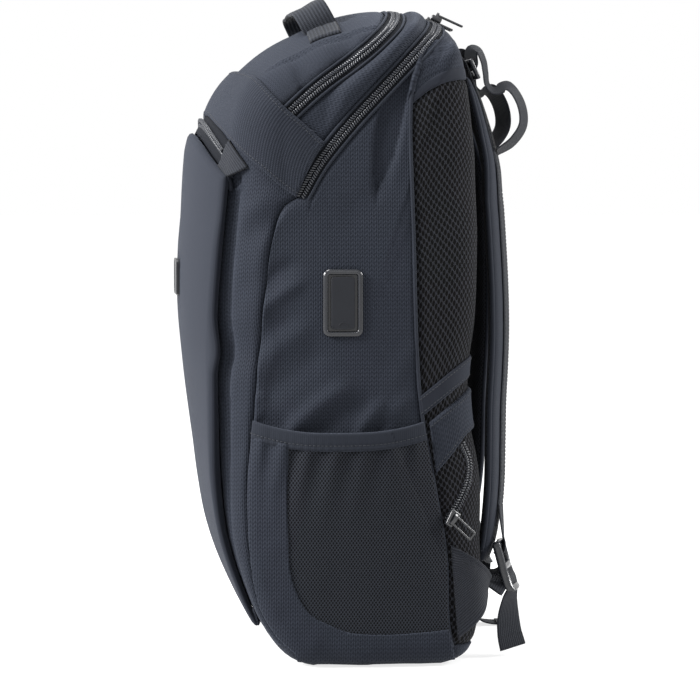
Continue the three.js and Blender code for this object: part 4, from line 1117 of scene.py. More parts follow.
def pad_height(cloth, channel, groove_pitch, swell):
    """Two lobes with a channel between them, and sewn grooves that run across each lobe."""
    x = np.abs(cloth.points[..., 0])
    z = cloth.points[..., 2]
    lobe = roll(cloth.edge("left", "right", "low", "high"), 9 * MM)
    middle_gap = 1 - np.exp(-((x / channel) ** 4))
    inside = np.clip((112 * MM - x) / (8 * MM), 0, 1) * np.clip((x - channel) / (8 * MM), 0, 1)
    wave = z + 0.18 * x
    near = np.abs((wave / groove_pitch) % 1 - 0.5) * groove_pitch
    groove = np.exp(-((near / (2.6 * MM)) ** 2)) * inside
    return (
        3.2 * MM * (lobe - 1)
        + swell * (middle_gap - 1)
        - 2.6 * MM * groove
        + 0.35 * MM * uneven(cloth.points, 30 * MM, 8)
    )


UNDER_TRIM = 7 * MM
back_pad = Cloth.over(back_lines(beside(TRIM_TOP, -UNDER_TRIM), YOKE_SEAM, 96), BACK_COLUMNS)
pad_piece = cloth_piece(
    "back_pad_mesh", back_pad, pad_height(back_pad, 22 * MM, 52 * MM, 5 * MM), AIR_MESH,
    "air_mesh", ("back_pad",),
)

trim = Cloth.over(back_lines(TRIM_LOW, TRIM_TOP, 14), 110)
trim_height = 0.9 * MM * roll(trim.edge("low", "high"), 3 * MM) + 0.8 * MM
trim_piece = cloth_piece("trim_cloth", trim, trim_height, SMOOTH, "panel_cloth", ("back_trim",))

lumbar_low = flat_line(BASE_EDGE, at_height(REAR_SEAM, BASE_EDGE)[0])
lumbar = Cloth.over(back_lines(lumbar_low, beside(TRIM_LOW, UNDER_TRIM), 90), BACK_COLUMNS)
lumbar_piece = cloth_piece(
    "lumbar_mesh", lumbar, pad_height(lumbar, 26 * MM, 60 * MM, 6 * MM), AIR_MESH, "air_mesh", ("lumbar_pad",)
)
print("back pad", triangles_made["back_pad_mesh"], "lumbar", triangles_made["lumbar_mesh"])

# %% [markdown]
# ## Saddle band
# A wide band of cloth lies over the front of the lid like a saddle and covers the ends of the zips. It is a
# second layer, so its edges are turned under and drop sharply to the cloth below.

# %% Saddle band
BAND_LIFT = 3.4 * MM
BAND_END = side_line((-0.265, 0.729), (-0.215, 0.775), (-0.16, 0.814))
band = Cloth.over(between(BAND_LOW, BAND_HIGH, 34, start=seam_y(BAND_END), tight=0.75), 150, 0.7)
band_height = (
    BAND_LIFT * roll(band.edge("left", "right", "low", "high"), 2.2 * MM)
    + 0.45 * MM * uneven(band.points, 34 * MM, 9)
)
band_piece = cloth_piece(
    "saddle_cloth", band, band_height, SADDLE, "panel_cloth", ("saddle_band",), thickness=1.4 * MM
)
print("saddle band", triangles_made["saddle_cloth"])

# %% [markdown]
# ## Front panel
# The front panel is a padded flap that stands proud of the body. Its edge curls under, so a dark shadow runs
# down beside it. The grid's outer rows and columns make that curl: they turn round a bead and run back in
# under the panel to where it is sewn down.

# %% Front panel
PANEL_STAND, PANEL_TOP_STAND = 3.4 * MM, 2.6 * MM
CURL = (
    # how far in from the panel's edge, and the share of its standing height there
    (11.0, 0.02), (6.0, 0.1), (2.6, 0.28), (0.6, 0.52), (0.0, 0.72), (0.9, 0.9), (3.2, 1.0),
)


def panel_top():
    """The zip's lower edge over the front, as heights for each distance from the middle."""
    line = over_hull(beside(FRONT_ZIP, ZIP_HALF))
    return lambda x: np.interp(x, line[:, 0], line[:, 2])


def pad_share(y, z):
    """How thick the front panel's padding is at a height."""
    rows = [(h * HEIGHT, p) for _, h, _, _, p in OUTLINE[22:]]
    heights, shares = np.array(rows[::-1]).T
    return np.interp(z, heights, shares)


panel_top_at = panel_top()


def panel_grid(columns, rows):
    """Points, normals, distances from the edges and standing height of the front panel, curl included."""
    curl = [inset * MM for inset, _ in CURL]
    share = [rise for _, rise in CURL]
    across = np.concatenate([curl, eased(columns, 0.3, CURL[-1][0] * MM + 3 * MM, PANEL_HALF)])
    across = np.concatenate([PANEL_HALF - across, -(PANEL_HALF - across)[-2::-1]])
    rise_x = np.concatenate([share, np.ones(columns)])
    rise_x = np.concatenate([rise_x, rise_x[-2::-1]])
    up = eased(rows, 0.3)
    found = np.zeros((rows + 2 * len(CURL), len(across), 7))
    for i, x in enumerate(across):
        top = float(panel_top_at(min(abs(x), PANEL_HALF)))
        inner = np.linspace(PANEL_LOW, top, 3)
        start, end = inner[0] + 6 * MM, inner[-1] - 6 * MM
        heights = np.concatenate(
            [inner[0] + np.array(curl), start + up * (end - start), top - np.array(curl[::-1])]
        )
        rise_z = np.concatenate([share, np.ones(rows), share[::-1]])
        for j, z in enumerate(heights):
            place, normal = skin.meet((x, -0.04, z), (0, -1, 0))
            found[j, i] = [*place, *normal, min(rise_x[i], rise_z[j])]
    return found


panel_data = panel_grid(52, 96)
panel = Cloth(panel_data[..., :3], panel_data[..., 3:6])
panel_rise = panel_data[..., 6]
panel.s, panel.t = panel.points[..., 0], panel.points[..., 2]
stand = PANEL_STAND + PAD * pad_share(panel.points[..., 1], panel.points[..., 2])
stand += PANEL_TOP_STAND * np.clip((panel.points[..., 2] - 340 * MM) / (50 * MM), 0, 1)
from_edge = np.minimum(PANEL_HALF - np.abs(panel.points[..., 0]), panel.points[..., 2] - PANEL_LOW)
panel_height = 0.3 * MM + panel_rise * (
    stand
    + 1.2 * MM * (1 - np.exp(-np.maximum(from_edge, 0) / (14 * MM)))
    + 0.5 * MM * uneven(panel.points, 60 * MM, 10)
)
panel_piece = cloth_piece(
    "front_panel_cloth", panel, panel_height, SMOOTH, "panel_cloth", ("front_panel",), thickness=1.2 * MM
)
print("front panel", triangles_made["front_panel_cloth"])

# %% [markdown]
# ## Zips
# A coil zip is two tapes with a row of coils on each, which mesh in the middle. The tapes lie a little below the
# cloth beside them. One tooth is a small rounded bar of a few faces, copied along the zip's course, first on one
# side and then, half a pitch on, on the other.

# %% Tapes and coils
TAPE_SINK = 0.8 * MM
TOOTH_PITCH = 1.95 * MM
TOOTH = (3.1 * MM, 1.15 * MM, 1.9 * MM)
TOOTH_ROW = 1.85 * MM


def tooth_mesh():
    made = bmesh.new()
    bmesh.ops.create_cube(made, size=1)
    bmesh.ops.scale(made, vec=TOOTH, verts=made.verts)
    top = [e for e in made.edges if all(v.co.z > 0 for v in e.verts)]
    rounded(made, top, 0.3 * MM, 1)
    bottom = [f for f in made.faces if f.normal.z < -0.9]
    bmesh.ops.delete(made, geom=bottom, context="FACES")
    mesh = bpy.data.meshes.new("tooth")
    made.to_mesh(mesh)
    made.free()
    return mesh


tooth = tooth_mesh()


def frame_at(place, run, out):
    """A matrix with x across, y along the run and z outwards at a place."""
    run = run.normalized()
    out = (out - run * out.dot(run)).normalized()
    return Matrix.Translation(place) @ Matrix((run.cross(out), run, out)).transposed().to_4x4()


def along_course(rows, pitch):
    """Evenly spaced places, runs and normals along rows of points and normals."""
    length = np.linalg.norm(np.diff(rows[:, :3], axis=0), axis=1).sum()
    count = max(2, int(length / pitch))
    even = resampled(rows, np.linspace(0, 1, count))
    runs = np.gradient(even[:, :3], axis=0)
    return [(Vector(r[:3]), Vector(d), Vector(r[3:6])) for r, d in zip(even, runs)]


def zip_pieces(name, line, nodes, half=6 * MM, whole=True, stop=FAR, lift=(0.0, 0.0)):
    """Tapes and coil of a zip on a side line, across the bag or on the right alone, with each edge's lift."""
    offsets = np.linspace(-half, half, 9)
    if whole:
        tape = Cloth.over([beside(line, d) for d in offsets], 170)
        centre = course(line, 260, 0.0)
    else:
        found = [over_side(beside(line, d)) for d in offsets]
        tape = Cloth([f[:, :3] for f in found], [f[:, 3:] for f in found])
        centre = over_side(line)
    height = np.interp(offsets, (-half, half), lift)[:, None] - TAPE_SINK + np.zeros(tape.t.shape)
    cloth_piece(f"{name}_tape", tape, height, TAPE, "zip", nodes, thickness=0.9 * MM)
    middle_lift, tilt = sum(lift) / 2, math.atan2(lift[1] - lift[0], 2 * half)
    coil = bmesh.new()
    for row in (-1, 1):
        for k, (place, run, out) in enumerate(along_course(centre, TOOTH_PITCH)):
            if abs(place.x) > stop:
                continue
            lie = frame_at(place, run, out)
            raised = Matrix.Translation((0, 0, middle_lift)) @ Matrix.Rotation(tilt, 4, "Y")
            slant = Matrix.Rotation(math.radians(row * 22), 4, "Z")
            shift = Matrix.Translation((row * TOOTH_ROW, row * TOOTH_PITCH / 4, 0.1 * MM))
            copied = tooth.copy()
            copied.transform(lie @ raised @ shift @ slant)
            coil.from_mesh(copied)
            bpy.data.meshes.remove(copied)
    piece(f"{name}_coil", coil, COIL, "zip")


def over_side(line, samples=60):
    """A side line laid on the right side only."""
    hits = [skin.meet((FAR, y, z), (-1, 0, 0)) for y, z in line]
    rows = np.array([[*p, *n] for p, n in filter(None, hits)])
    return resampled(rows, np.linspace(0, 1, samples))


COIL_END = 107 * MM
FRONT_ZIP_LIFT = (1.2 * MM, 5.2 * MM)
zip_pieces("front_zip", FRONT_ZIP, ("front_zip",), stop=COIL_END, lift=FRONT_ZIP_LIFT)
zip_pieces("middle_zip", MIDDLE_ZIP, ("middle_zip",))
zip_pieces("rear_zip", REAR_ZIP, ("rear_zip",))
zip_pieces("lumbar_zip", LUMBAR_ZIP, ("lumbar_zip",), half=4.2 * MM, whole=False)
print("coils", triangles_made["rear_zip_coil"], triangles_made["middle_zip_coil"])

# %% [markdown]
# ## Piping beside the zips and seams
# Each tape is sewn under a folded edge of the cloth, which shows as a thin raised roll on both sides of the zip.
# The side panels end in such a piping too, where they meet the back's air mesh. A piping is a round sweep: a
# grid that is closed into a tube along its course.

# %% Sweeps along a course
def swept_mesh(path, section, widths, thickness, breadths=None, faces=None, lie=(1, 0, 0)):
    """A closed strap: a section in shares of half its width and thickness, swept along a path of points."""
    path, section = np.array(path), np.array(section)
    runs = np.gradient(path, axis=0)
    runs /= np.linalg.norm(runs, axis=1)[:, None]
    if breadths is None:
        breadths = np.array(lie) - runs * (runs @ np.array(lie, float))[:, None]
        breadths /= np.linalg.norm(breadths, axis=1)[:, None]
    faces = np.cross(runs, breadths) if faces is None else faces
    widths = np.broadcast_to(widths, len(path))[:, None, None]
    thickness = np.broadcast_to(thickness, len(path))[:, None, None]
    points = (
        path[:, None]
        + breadths[:, None] * section[None, :, :1] * widths / 2
        + faces[:, None] * section[None, :, 1:] * thickness / 2
    )
    s, _ = lengths_over(points[len(path) // 2 : len(path) // 2 + 2])
    t = np.concatenate([[0], np.cumsum(np.linalg.norm(np.diff(path, axis=0), axis=1))])
    s, t = np.broadcast_arrays(s[:1], t[:, None])
    made = grid_mesh(points, s, t)
    closed = np.allclose(section[0], section[-1])
    if closed:
        bmesh.ops.remove_doubles(made, verts=made.verts, dist=0.004 * MM)
        bmesh.ops.holes_fill(made, edges=made.edges, sides=0)
        bmesh.ops.recalc_face_normals(made, faces=made.faces)
    return made


def section_round(count):
    ring = np.linspace(0, 2 * math.pi, count + 1)
    return np.stack([np.cos(ring), np.sin(ring)], axis=1)


def section_flat(count, square=0.25, side=0.7):
    """A flat section whose edges are round; smaller numbers make its corners squarer."""
    ring = section_round(count)
    return np.sign(ring) * np.abs(ring) ** (square, side)


def piping_mesh(rows, radius, lift=0.0):
    rows = np.array(rows)
    runs = np.gradient(rows[:, :3], axis=0)
    runs /= np.linalg.norm(runs, axis=1)[:, None]
    out = rows[:, 3:6] - runs * np.sum(rows[:, 3:6] * runs, axis=1)[:, None]
    out /= np.linalg.norm(out, axis=1)[:, None]
    return swept_mesh(
        rows[:, :3] + out * lift, section_round(8), 2 * radius, 2 * radius, np.cross(out, runs), out
    )


# %% Pipings
for name, line, offset, radius in (
    ("middle_zip_piping_upper", MIDDLE_ZIP, 6.2 * MM, 1.15 * MM),
    ("middle_zip_piping_lower", MIDDLE_ZIP, -6.2 * MM, 1.15 * MM),
    ("rear_zip_piping_upper", REAR_ZIP, 6.2 * MM, 1.15 * MM),
    ("rear_zip_piping_lower", REAR_ZIP, -6.2 * MM, 1.15 * MM),
):
    rolled = piping_mesh(course(beside(line, offset), 170), radius, -0.4 * MM)
    piece(name, rolled, PIPING, "slate_cloth")

rear_edge = over_side(part_of(REAR_SEAM, BASE_EDGE, 0.96 * HEIGHT), 110)
on_both_sides(
    "back_piping", lambda: piping_mesh(rear_edge, 1.5 * MM, -0.3 * MM), PIPING, "slate_cloth"
)
front_zip_roll = course(beside(FRONT_ZIP, 6.3 * MM), 130)
piece("front_zip_piping", piping_mesh(front_zip_roll, 1.1 * MM, 0.9 * MM), PIPING, "slate_cloth")
print("pipings laid")

# %% [markdown]
# ## Webbing tabs at the front zip's ends
# A short piece of ribbed webbing is sewn over each end of the front zip. Its ribs run along the zip.

# %% Zip end tabs
TAB_HALF = 7 * MM


def across_body(line, inner, columns):
    """A side line's course on the right, from a distance from the middle to the line's own end."""
    rows = over_hull(line)
    return resampled(rows[rows[:, 0] >= inner], np.linspace(0, 1, columns))


def tab_mesh():
    coil_end = across_body(FRONT_ZIP, COIL_END, 2)[0, :3]
    rows = []
    for d in np.linspace(-TAB_HALF, TAB_HALF, 14):
        row = over_hull(beside(FRONT_ZIP, d))
        start = np.linalg.norm(row[:, :3] - coil_end, axis=1).argmin()
        rows.append(resampled(row[start:], np.linspace(0, 1, 22)))
    rows = np.array(rows)
    tab = Cloth(rows[..., :3], rows[..., 3:])
    slope = np.linspace(*FRONT_ZIP_LIFT, len(rows))[:, None]
    height = slope + 1.6 * MM * roll(tab.edge("left", "low", "high"), 1.2 * MM)
    made = grid_mesh(tab.lifted(height), tab.t, tab.s)
    face_out(made, from_middle)
    return made


on_both_sides(
    "front_zip_tab", tab_mesh, WEBBING, "ribbed_webbing", ("front_zip_end",), thickness=1.6 * MM
)

# %% [markdown]
# ## Stitches
# A topstitch is a row of short thread ends. One stitch is a small rounded bar of a few faces, and every row
# copies it along a course.

# %% Rows of stitches
def stitch_mesh():
    made = bmesh.new()
    bmesh.ops.create_cone(
        made, cap_ends=True, segments=6, radius1=0.32 * MM, radius2=0.32 * MM, depth=2.1 * MM,
        matrix=Matrix.Rotation(math.pi / 2, 4, "X"),
    )
    ends = [e for e in made.edges if len(e.link_faces) == 2 and e.calc_face_angle() > 1.4]
    rounded(made, ends, 0.15 * MM, 1)
    mesh = bpy.data.meshes.new("stitch")
    made.to_mesh(mesh)
    made.free()
    return mesh


stitch = stitch_mesh()
STITCH_PITCH = 3.0 * MM


def stitched(rows, lift=0.0, made=None):
    made = made or bmesh.new()
    for place, run, out in along_course(rows, STITCH_PITCH):
        copied = stitch.copy()
        copied.transform(frame_at(place + out.normalized() * lift, run, out))
        made.from_mesh(copied)
        bpy.data.meshes.remove(copied)
    return made


def cloth_row(cloth, height, edge, inset):
    """Points and normals of a cloth's face at a distance from its low or high edge."""
    distance = getattr(cloth, edge)
    lifted = cloth.lifted(height)
    rows = []
    for i in range(lifted.shape[1]):
        order = np.argsort(distance[:, i])
        place = [np.interp(inset, distance[order, i], lifted[order, i, k]) for k in range(3)]
        normal = [np.interp(inset, distance[order, i], cloth.normals[order, i, k]) for k in range(3)]
        rows.append([*place, *normal])
    return np.array(rows)


band_stitches = stitched(cloth_row(band, band_height, "low", 3.2 * MM))
stitched(cloth_row(band, band_height, "high", 3.2 * MM), made=band_stitches)
piece("saddle_stitches", band_stitches, THREAD, "panel_cloth")
trim_stitches = stitched(cloth_row(trim, trim_height, "low", 2.2 * MM))
stitched(cloth_row(trim, trim_height, "high", 2.2 * MM), made=trim_stitches)
piece("trim_stitches", trim_stitches, THREAD, "panel_cloth")
print("stitches", triangles_made["saddle_stitches"])

# %% [markdown]
# ## Side pockets
# The pocket is a bag of fine mesh with a border of ribbed cloth at its front and foot. An elastic binding
# draws its mouth in, so the mesh hangs in slanted gathers below it. The whole pocket stands off the side panel
# most at the middle of its mouth.

# %% Where a pocket stands
POCKET_TOP = side_line(
    (-0.428, 0.361), (-0.365, 0.353), (-0.255, 0.345), (-0.105, 0.343), (0.05, 0.345), (0.15, 0.351),
    (0.222, 0.358),
)
POCKET_FOOT, POCKET_SEAM, POCKET_SLACK = 5 * MM, 0.9 * MM, 9 * MM
FULL_ALONG, FULL_UP = 0.7, 0.6
FOLDS = (
    # where along the pocket's mouth, how far its foot leans to the front, its width, depth and length in mm
    (0.05, 0.03, 4.0, 1.6, 60), (0.11, 0.05, 4.5, -1.3, 48), (0.18, 0.08, 4.5, 1.7, 70),
    (0.25, 0.1, 5.0, -1.4, 60), (0.32, 0.12, 4.5, 1.5, 76), (0.4, 0.13, 5.0, -1.2, 66),
    (0.48, 0.14, 5.0, 1.4, 80), (0.56, 0.14, 5.5, -1.1, 60), (0.64, 0.13, 5.0, 1.3, 72),
    (0.72, 0.12, 5.0, -1.0, 58), (0.8, 0.1, 5.0, 1.2, 64), (0.88, 0.07, 4.5, -1.0, 50),
    (0.94, 0.04, 4.0, 1.1, 44),
)


def seam_span(z):
    """Where the front and the rear seam pass a height."""
    return (np.interp(z, seam[:, 1], seam[:, 0]) for seam in (FRONT_SEAM, REAR_SEAM))


def pocket_share(y, z):
    """How far a place is along the pocket, and how far up it."""
    front, rear = seam_span(z)
    u = np.clip((y - front) / (rear - front), 0, 1)
    top = np.interp(u, np.linspace(0, 1, len(POCKET_TOP)), POCKET_TOP[:, 1])
    return u, (z - POCKET_FOOT) / (top - POCKET_FOOT)


def pocket_gathers(u, v, z):
    below = (np.interp(u, np.linspace(0, 1, len(POCKET_TOP)), POCKET_TOP[:, 1]) - z) / MM
    total = np.zeros_like(u)
    for at, lean, width, depth, length in FOLDS:
        down = np.clip(below / length, 0, 1.2)
        off = (u - at + lean * down) * 130 / (width * (1 + 0.5 * down))
        total += depth * MM * np.exp(-(off**2)) * np.clip(1 - down, 0, 1) ** 1.2
    return total


def on_pocket(y, z, lift, gathers=1.0):
    """Points and normals of the pocket's outer face at places on the side view."""
    u, v = pocket_share(y, z)
    stand = POCKET_SEAM + POCKET_SLACK * np.sin(np.pi * u) ** FULL_ALONG * np.clip(v, 0, 1) ** FULL_UP
    stand = stand + 1.6 * MM + lift + gathers * pocket_gathers(u, np.clip(v, 0, 1), z)
    found = np.zeros((*y.shape, 6))
    for spot in np.ndindex(y.shape):
        hit = skin.meet((FAR, y[spot], z[spot]), (-1, 0, 0)) or skin.nearest((WIDTH / 2, y[spot], z[spot]))
        found[spot] = [*hit[0], *hit[1]]
    found[..., 0] += stand
    return found


def pocket_grid(columns, rows):
    u, v = eased(columns, 0.3), eased(rows, 0.2)
    top = resampled(POCKET_TOP, u)
    z = POCKET_FOOT + v[:, None] * (top[None, :, 1] - POCKET_FOOT)
    front, rear = seam_span(z)
    return front + u[None] * (rear - front), z


def laid_on_pocket(y, z, lift, gathers=1.0):
    found = on_pocket(y, z, lift, gathers)
    cloth = Cloth(found[..., :3], found[..., 3:])
    cloth.s, cloth.t = y, z
    return cloth


# %% Pocket mesh
pocket = laid_on_pocket(*pocket_grid(110, 100), 0.0)
pocket_soft = 0.3 * MM * uneven(pocket.points, 22 * MM, 11)


def pocket_mesh():
    return laid_mesh(pocket, pocket_soft)


pockets = on_both_sides(
    "pocket_mesh", pocket_mesh, POCKET_MESH, "pocket_mesh", ("side_pocket",), thickness=1.0 * MM
)

# %% Pocket border
INSERT_EDGE = np.array(
    [(-60, 171), (-60, 158), (-61, 132), (-60, 102), (-58, 72), (-51, 53), (-42, 41), (-29, 34), (-14, 28),
     (13, 26), (39, 27), (62, 29)]
) * MM


def border_mesh():
    at = curve_through(INSERT_EDGE)
    inner = resampled(np.array([at(i / 200) for i in range(201)]), np.linspace(0, 1, 120))
    down = part_of(FRONT_SEAM, POCKET_FOOT + 7 * MM, POCKET_TOP[0][1])[::-1]
    foot = np.linspace((-52 * MM, POCKET_FOOT), (at_height(REAR_SEAM, POCKET_FOOT)[0], POCKET_FOOT), 60)
    outer = resampled(np.concatenate([down, foot]), np.linspace(0, 1, 120))
    shares = eased(30, 0.5)[:, None, None]
    flat = (1 - shares) * outer[None] + shares * inner[None]
    flat[..., 1] = np.maximum(flat[..., 1], POCKET_FOOT)
    border = laid_on_pocket(flat[..., 0], flat[..., 1], 0.5 * MM, 1.0)
    height = 0.9 * MM * roll(border.high, 1.4 * MM) + 0.35 * MM * uneven(border.points, 14 * MM, 12)
    return laid_mesh(border, height)


pocket_borders = on_both_sides("pocket_border", border_mesh, SLATE, "slate_cloth", thickness=1.0 * MM)

# %% Elastic binding of the pocket's mouth
BINDING_HEIGHT = 12.5 * MM


def binding_cloth():
    u = eased(150, 0.2)
    top = resampled(POCKET_TOP, u)
    up = np.linspace(-1.5 * MM, BINDING_HEIGHT, 15)
    z = top[None, :, 1] + up[:, None]
    front, rear = seam_span(z)
    return laid_on_pocket(front + u[None] * (rear - front), z, 0.9 * MM, 0.0)


binding = binding_cloth()
ripple = np.sin((binding.s / (5.2 * MM) + 0.6 * uneven(binding.points, 30 * MM, 13)) * 2 * math.pi)
binding_height = (
    1.1 * MM * roll(binding.edge("low", "high"), 1.8 * MM)
    - 0.45 * MM * np.exp(-(((binding.low - 4.2 * MM) / (0.8 * MM)) ** 2))
    + 0.14 * MM * ripple * np.clip(1 - binding.low / BINDING_HEIGHT, 0, 1)
)


def binding_mesh():
    return laid_mesh(binding, binding_height)


pocket_bindings = on_both_sides(
    "pocket_binding_cloth", binding_mesh, BINDING, "panel_cloth", ("pocket_binding",), thickness=1.8 * MM
)
binding_row = cloth_row(binding, binding_height, "low", 4.2 * MM)
pocket_seams = on_both_sides(
    "pocket_stitches", lambda: stitched(binding_row, 0.1 * MM), THREAD, "panel_cloth"
)
declare_sheets(
    pocket,
)
print("pocket", triangles_made["pocket_mesh_right"], "binding", triangles_made["pocket_binding_cloth_right"])

# %% [markdown]
# ## Straps and webbing
# A padded shoulder strap has a smooth outer face, air mesh towards the wearer and a piping where the two are
# sewn together. Everything else is ribbed webbing, 25 mm wide. Each is a section swept along a path that
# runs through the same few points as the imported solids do. The left side mirrors the right, apart from the
# free end of its adjuster, which lies on the floor.

# %% Paths of the straps
SHOULDER_STRAP = (
    # x as a share of half the width, y of the depth, z of the height, share of the strap's width
    (0.32, 0.425, 0.912, 0.86), (0.34, 0.462, 0.868, 0.9), (0.37, 0.492, 0.825, 0.95),
    (0.4, 0.515, 0.784, 1), (0.44, 0.527, 0.724, 1), (0.48, 0.535, 0.654, 1),
    (0.51, 0.541, 0.583, 1), (0.53, 0.542, 0.517, 1), (0.545, 0.537, 0.462, 1),
    (0.555, 0.529, 0.403, 1), (0.562, 0.526, 0.34, 1), (0.568, 0.523, 0.283, 0.97),
    (0.572, 0.514, 0.235, 0.9), (0.576, 0.5, 0.192, 0.78), (0.578, 0.478, 0.152, 0.6),
)
# From here on the fourth column is how far the webbing is turned about its run, in degrees.
LOAD_LIFTER = (
    (0.33, 0.37, 0.966, 0), (0.34, 0.425, 0.945, 5), (0.35, 0.458, 0.915, 8), (0.37, 0.495, 0.872, 10),
    (0.4, 0.528, 0.82, 14), (0.415, 0.552, 0.775, 14), (0.43, 0.558, 0.74, 14),
)
LIFTER_TAIL = (
    (0.345, 0.445, 0.9317, 8), (0.345, 0.455, 0.94, 14), (0.34, 0.452, 0.954, 16),
    (0.34, 0.458, 0.965, 16), (0.34, 0.48, 0.963, 17), (0.34, 0.5, 0.947, 17), (0.345, 0.508, 0.928, 16),
    (0.35, 0.515, 0.909, 15), (0.36, 0.54, 0.9, 16), (0.38, 0.595, 0.905, 20), (0.4, 0.64, 0.88, 22),
    (0.41, 0.65, 0.845, 22), (0.41, 0.61, 0.818, 20), (0.41, 0.545, 0.8, 14),
)
ADJUSTER = (
    (0.79, 0.482, 0.118, 62), (0.72, 0.5, 0.122, 50), (0.66, 0.522, 0.128, 34), (0.636, 0.545, 0.132, 20),
    (0.63, 0.568, 0.136, 12), (0.63, 0.588, 0.13, 14), (0.628, 0.592, 0.112, 24), (0.628, 0.58, 0.09, 36),
)
TAIL_RIGHT = ((0.63, 0.575, 0.06, 50), (0.635, 0.58, 0.035, 56), (0.64, 0.592, 0.014, 60))
TAIL_LEFT = (
    (0.625, 0.568, 0.06, 40), (0.62, 0.565, 0.03, 16), (0.612, 0.575, 0.01, 4), (0.605, 0.62, 0.0045, 0),
    (0.6, 0.7, 0.004, 0),
)
BUCKLE_TAB = (
    (0.585, 0.5485, 0.24, 14), (0.6, 0.552, 0.212, 12), (0.615, 0.556, 0.19, 8), (0.625, 0.56, 0.18, 6),
    (0.628, 0.555, 0.168, 6), (0.63, 0.542, 0.163, 8), (0.63, 0.53, 0.166, 10),
)
STRAP_WIDTH, STRAP_THICKNESS = 62 * MM, 11 * MM
WEBBING_WIDTH, WEBBING_THICKNESS = 25 * MM, 1.6 * MM


def route(rows, count):
    """A smooth path through rows of shares, whose last column is kept small and so adds no length."""
    at = curve_through(
        [(x * WIDTH / 2, y * DEPTH, max(z * HEIGHT, WEBBING_THICKNESS), more * MM) for x, y, z, more in rows]
    )
    dense = np.array([at(i / 600) for i in range(601)])
    return resampled(dense, np.linspace(0, 1, count)) / (1, 1, 1, MM)


def turned_frames(path, turn):
    """Across and out of each point of a strap's path, turned about its run by an angle in degrees."""
    runs = np.gradient(path, axis=0)
    runs /= np.linalg.norm(runs, axis=1)[:, None]
    across = np.array([1.0, 0, 0]) - runs * runs[:, :1]
    across /= np.linalg.norm(across, axis=1)[:, None]
    out = np.cross(across, runs)
    angle = np.radians(np.broadcast_to(turn, len(path)))[:, None]
    return across * np.cos(angle) - out * np.sin(angle), out * np.cos(angle) + across * np.sin(angle)


# %% Padded shoulder straps
strap_route = route(SHOULDER_STRAP, 150)
strap_path, strap_wide = strap_route[:, :3], strap_route[:, 3] * STRAP_WIDTH
STRAP_TURN = 15
strap_across, strap_out = turned_frames(strap_path, STRAP_TURN * np.clip(np.arange(150) / 40, 0, 1))
end_fade = np.minimum(np.arange(150), np.arange(150)[::-1]) / 10
strap_full = STRAP_THICKNESS * (0.35 + 0.65 * roll(end_fade, 1.0))


def half_section(count, out):
    """Half of a pillow's section, from one edge over its face to the other."""
    angles = np.linspace(math.pi, 0, count)
    across, rise = np.cos(angles), np.sin(angles)
    return np.stack(
        [np.sign(across) * np.abs(across) ** 0.55, out * np.maximum(rise, 0) ** 0.75], axis=1
    )


def strap_half(out):
    made = swept_mesh(
        strap_path, half_section(26, out), strap_wide, strap_full, strap_across, strap_out
    )
    face_out(made, lambda place: Vector((0, out, 0)))
    return made


straps = on_both_sides(
    "strap_face", lambda: strap_half(1), STRAP_FACE, "strap_cloth", ("shoulder_strap",), thickness=1.5 * MM
)
linings = on_both_sides("strap_lining", lambda: strap_half(-1), STRAP_MESH, "air_mesh", thickness=1.5 * MM)


def strap_edge(share, lift=0.0):
    """Points and normals along the strap at a share of its half width."""
    place = strap_path + strap_across * strap_wide[:, None] / 2 * share + strap_out * lift
    return np.concatenate([place, strap_across * np.sign(share) if lift == 0 else strap_out], axis=1)


for label, share in (("inner", -1.0), ("outer", 1.0)):
    on_both_sides(
        f"strap_piping_{label}",
        lambda: piping_mesh(strap_edge(share)[3:-3], 1.7 * MM),
        PIPING,
        "strap_cloth",
    )
print("strap", triangles_made["strap_face_right"])


# %% Webbing down the strap, and its stitches
def webbing_mesh(path, width=WEBBING_WIDTH, thickness=WEBBING_THICKNESS, around=28):
    """Webbing along a path of places and turns."""
    across, out = turned_frames(path[:, :3], path[:, 3])
    return swept_mesh(path[:, :3], section_flat(around), width, thickness, across, out)


strap_webbing_path = strap_path[16:134] + strap_out[16:134] * (STRAP_THICKNESS / 2 + 0.9 * MM)
on_both_sides(
    "strap_webbing",
    lambda: swept_mesh(
        strap_webbing_path, section_flat(28), WEBBING_WIDTH, WEBBING_THICKNESS,
        strap_across[16:134], strap_out[16:134],
    ),
    WEBBING,
    "ribbed_webbing",
)


def strap_stitches():
    made = bmesh.new()
    for share in (-1, 1):
        place = strap_webbing_path + strap_across[16:134] * share * (WEBBING_WIDTH / 2 - 2.2 * MM)
        rows = np.concatenate([place + strap_out[16:134] * 0.8 * MM, strap_out[16:134]], axis=1)
        stitched(rows, made=made)
    return made


on_both_sides("strap_stitches", strap_stitches, THREAD, "strap_cloth")

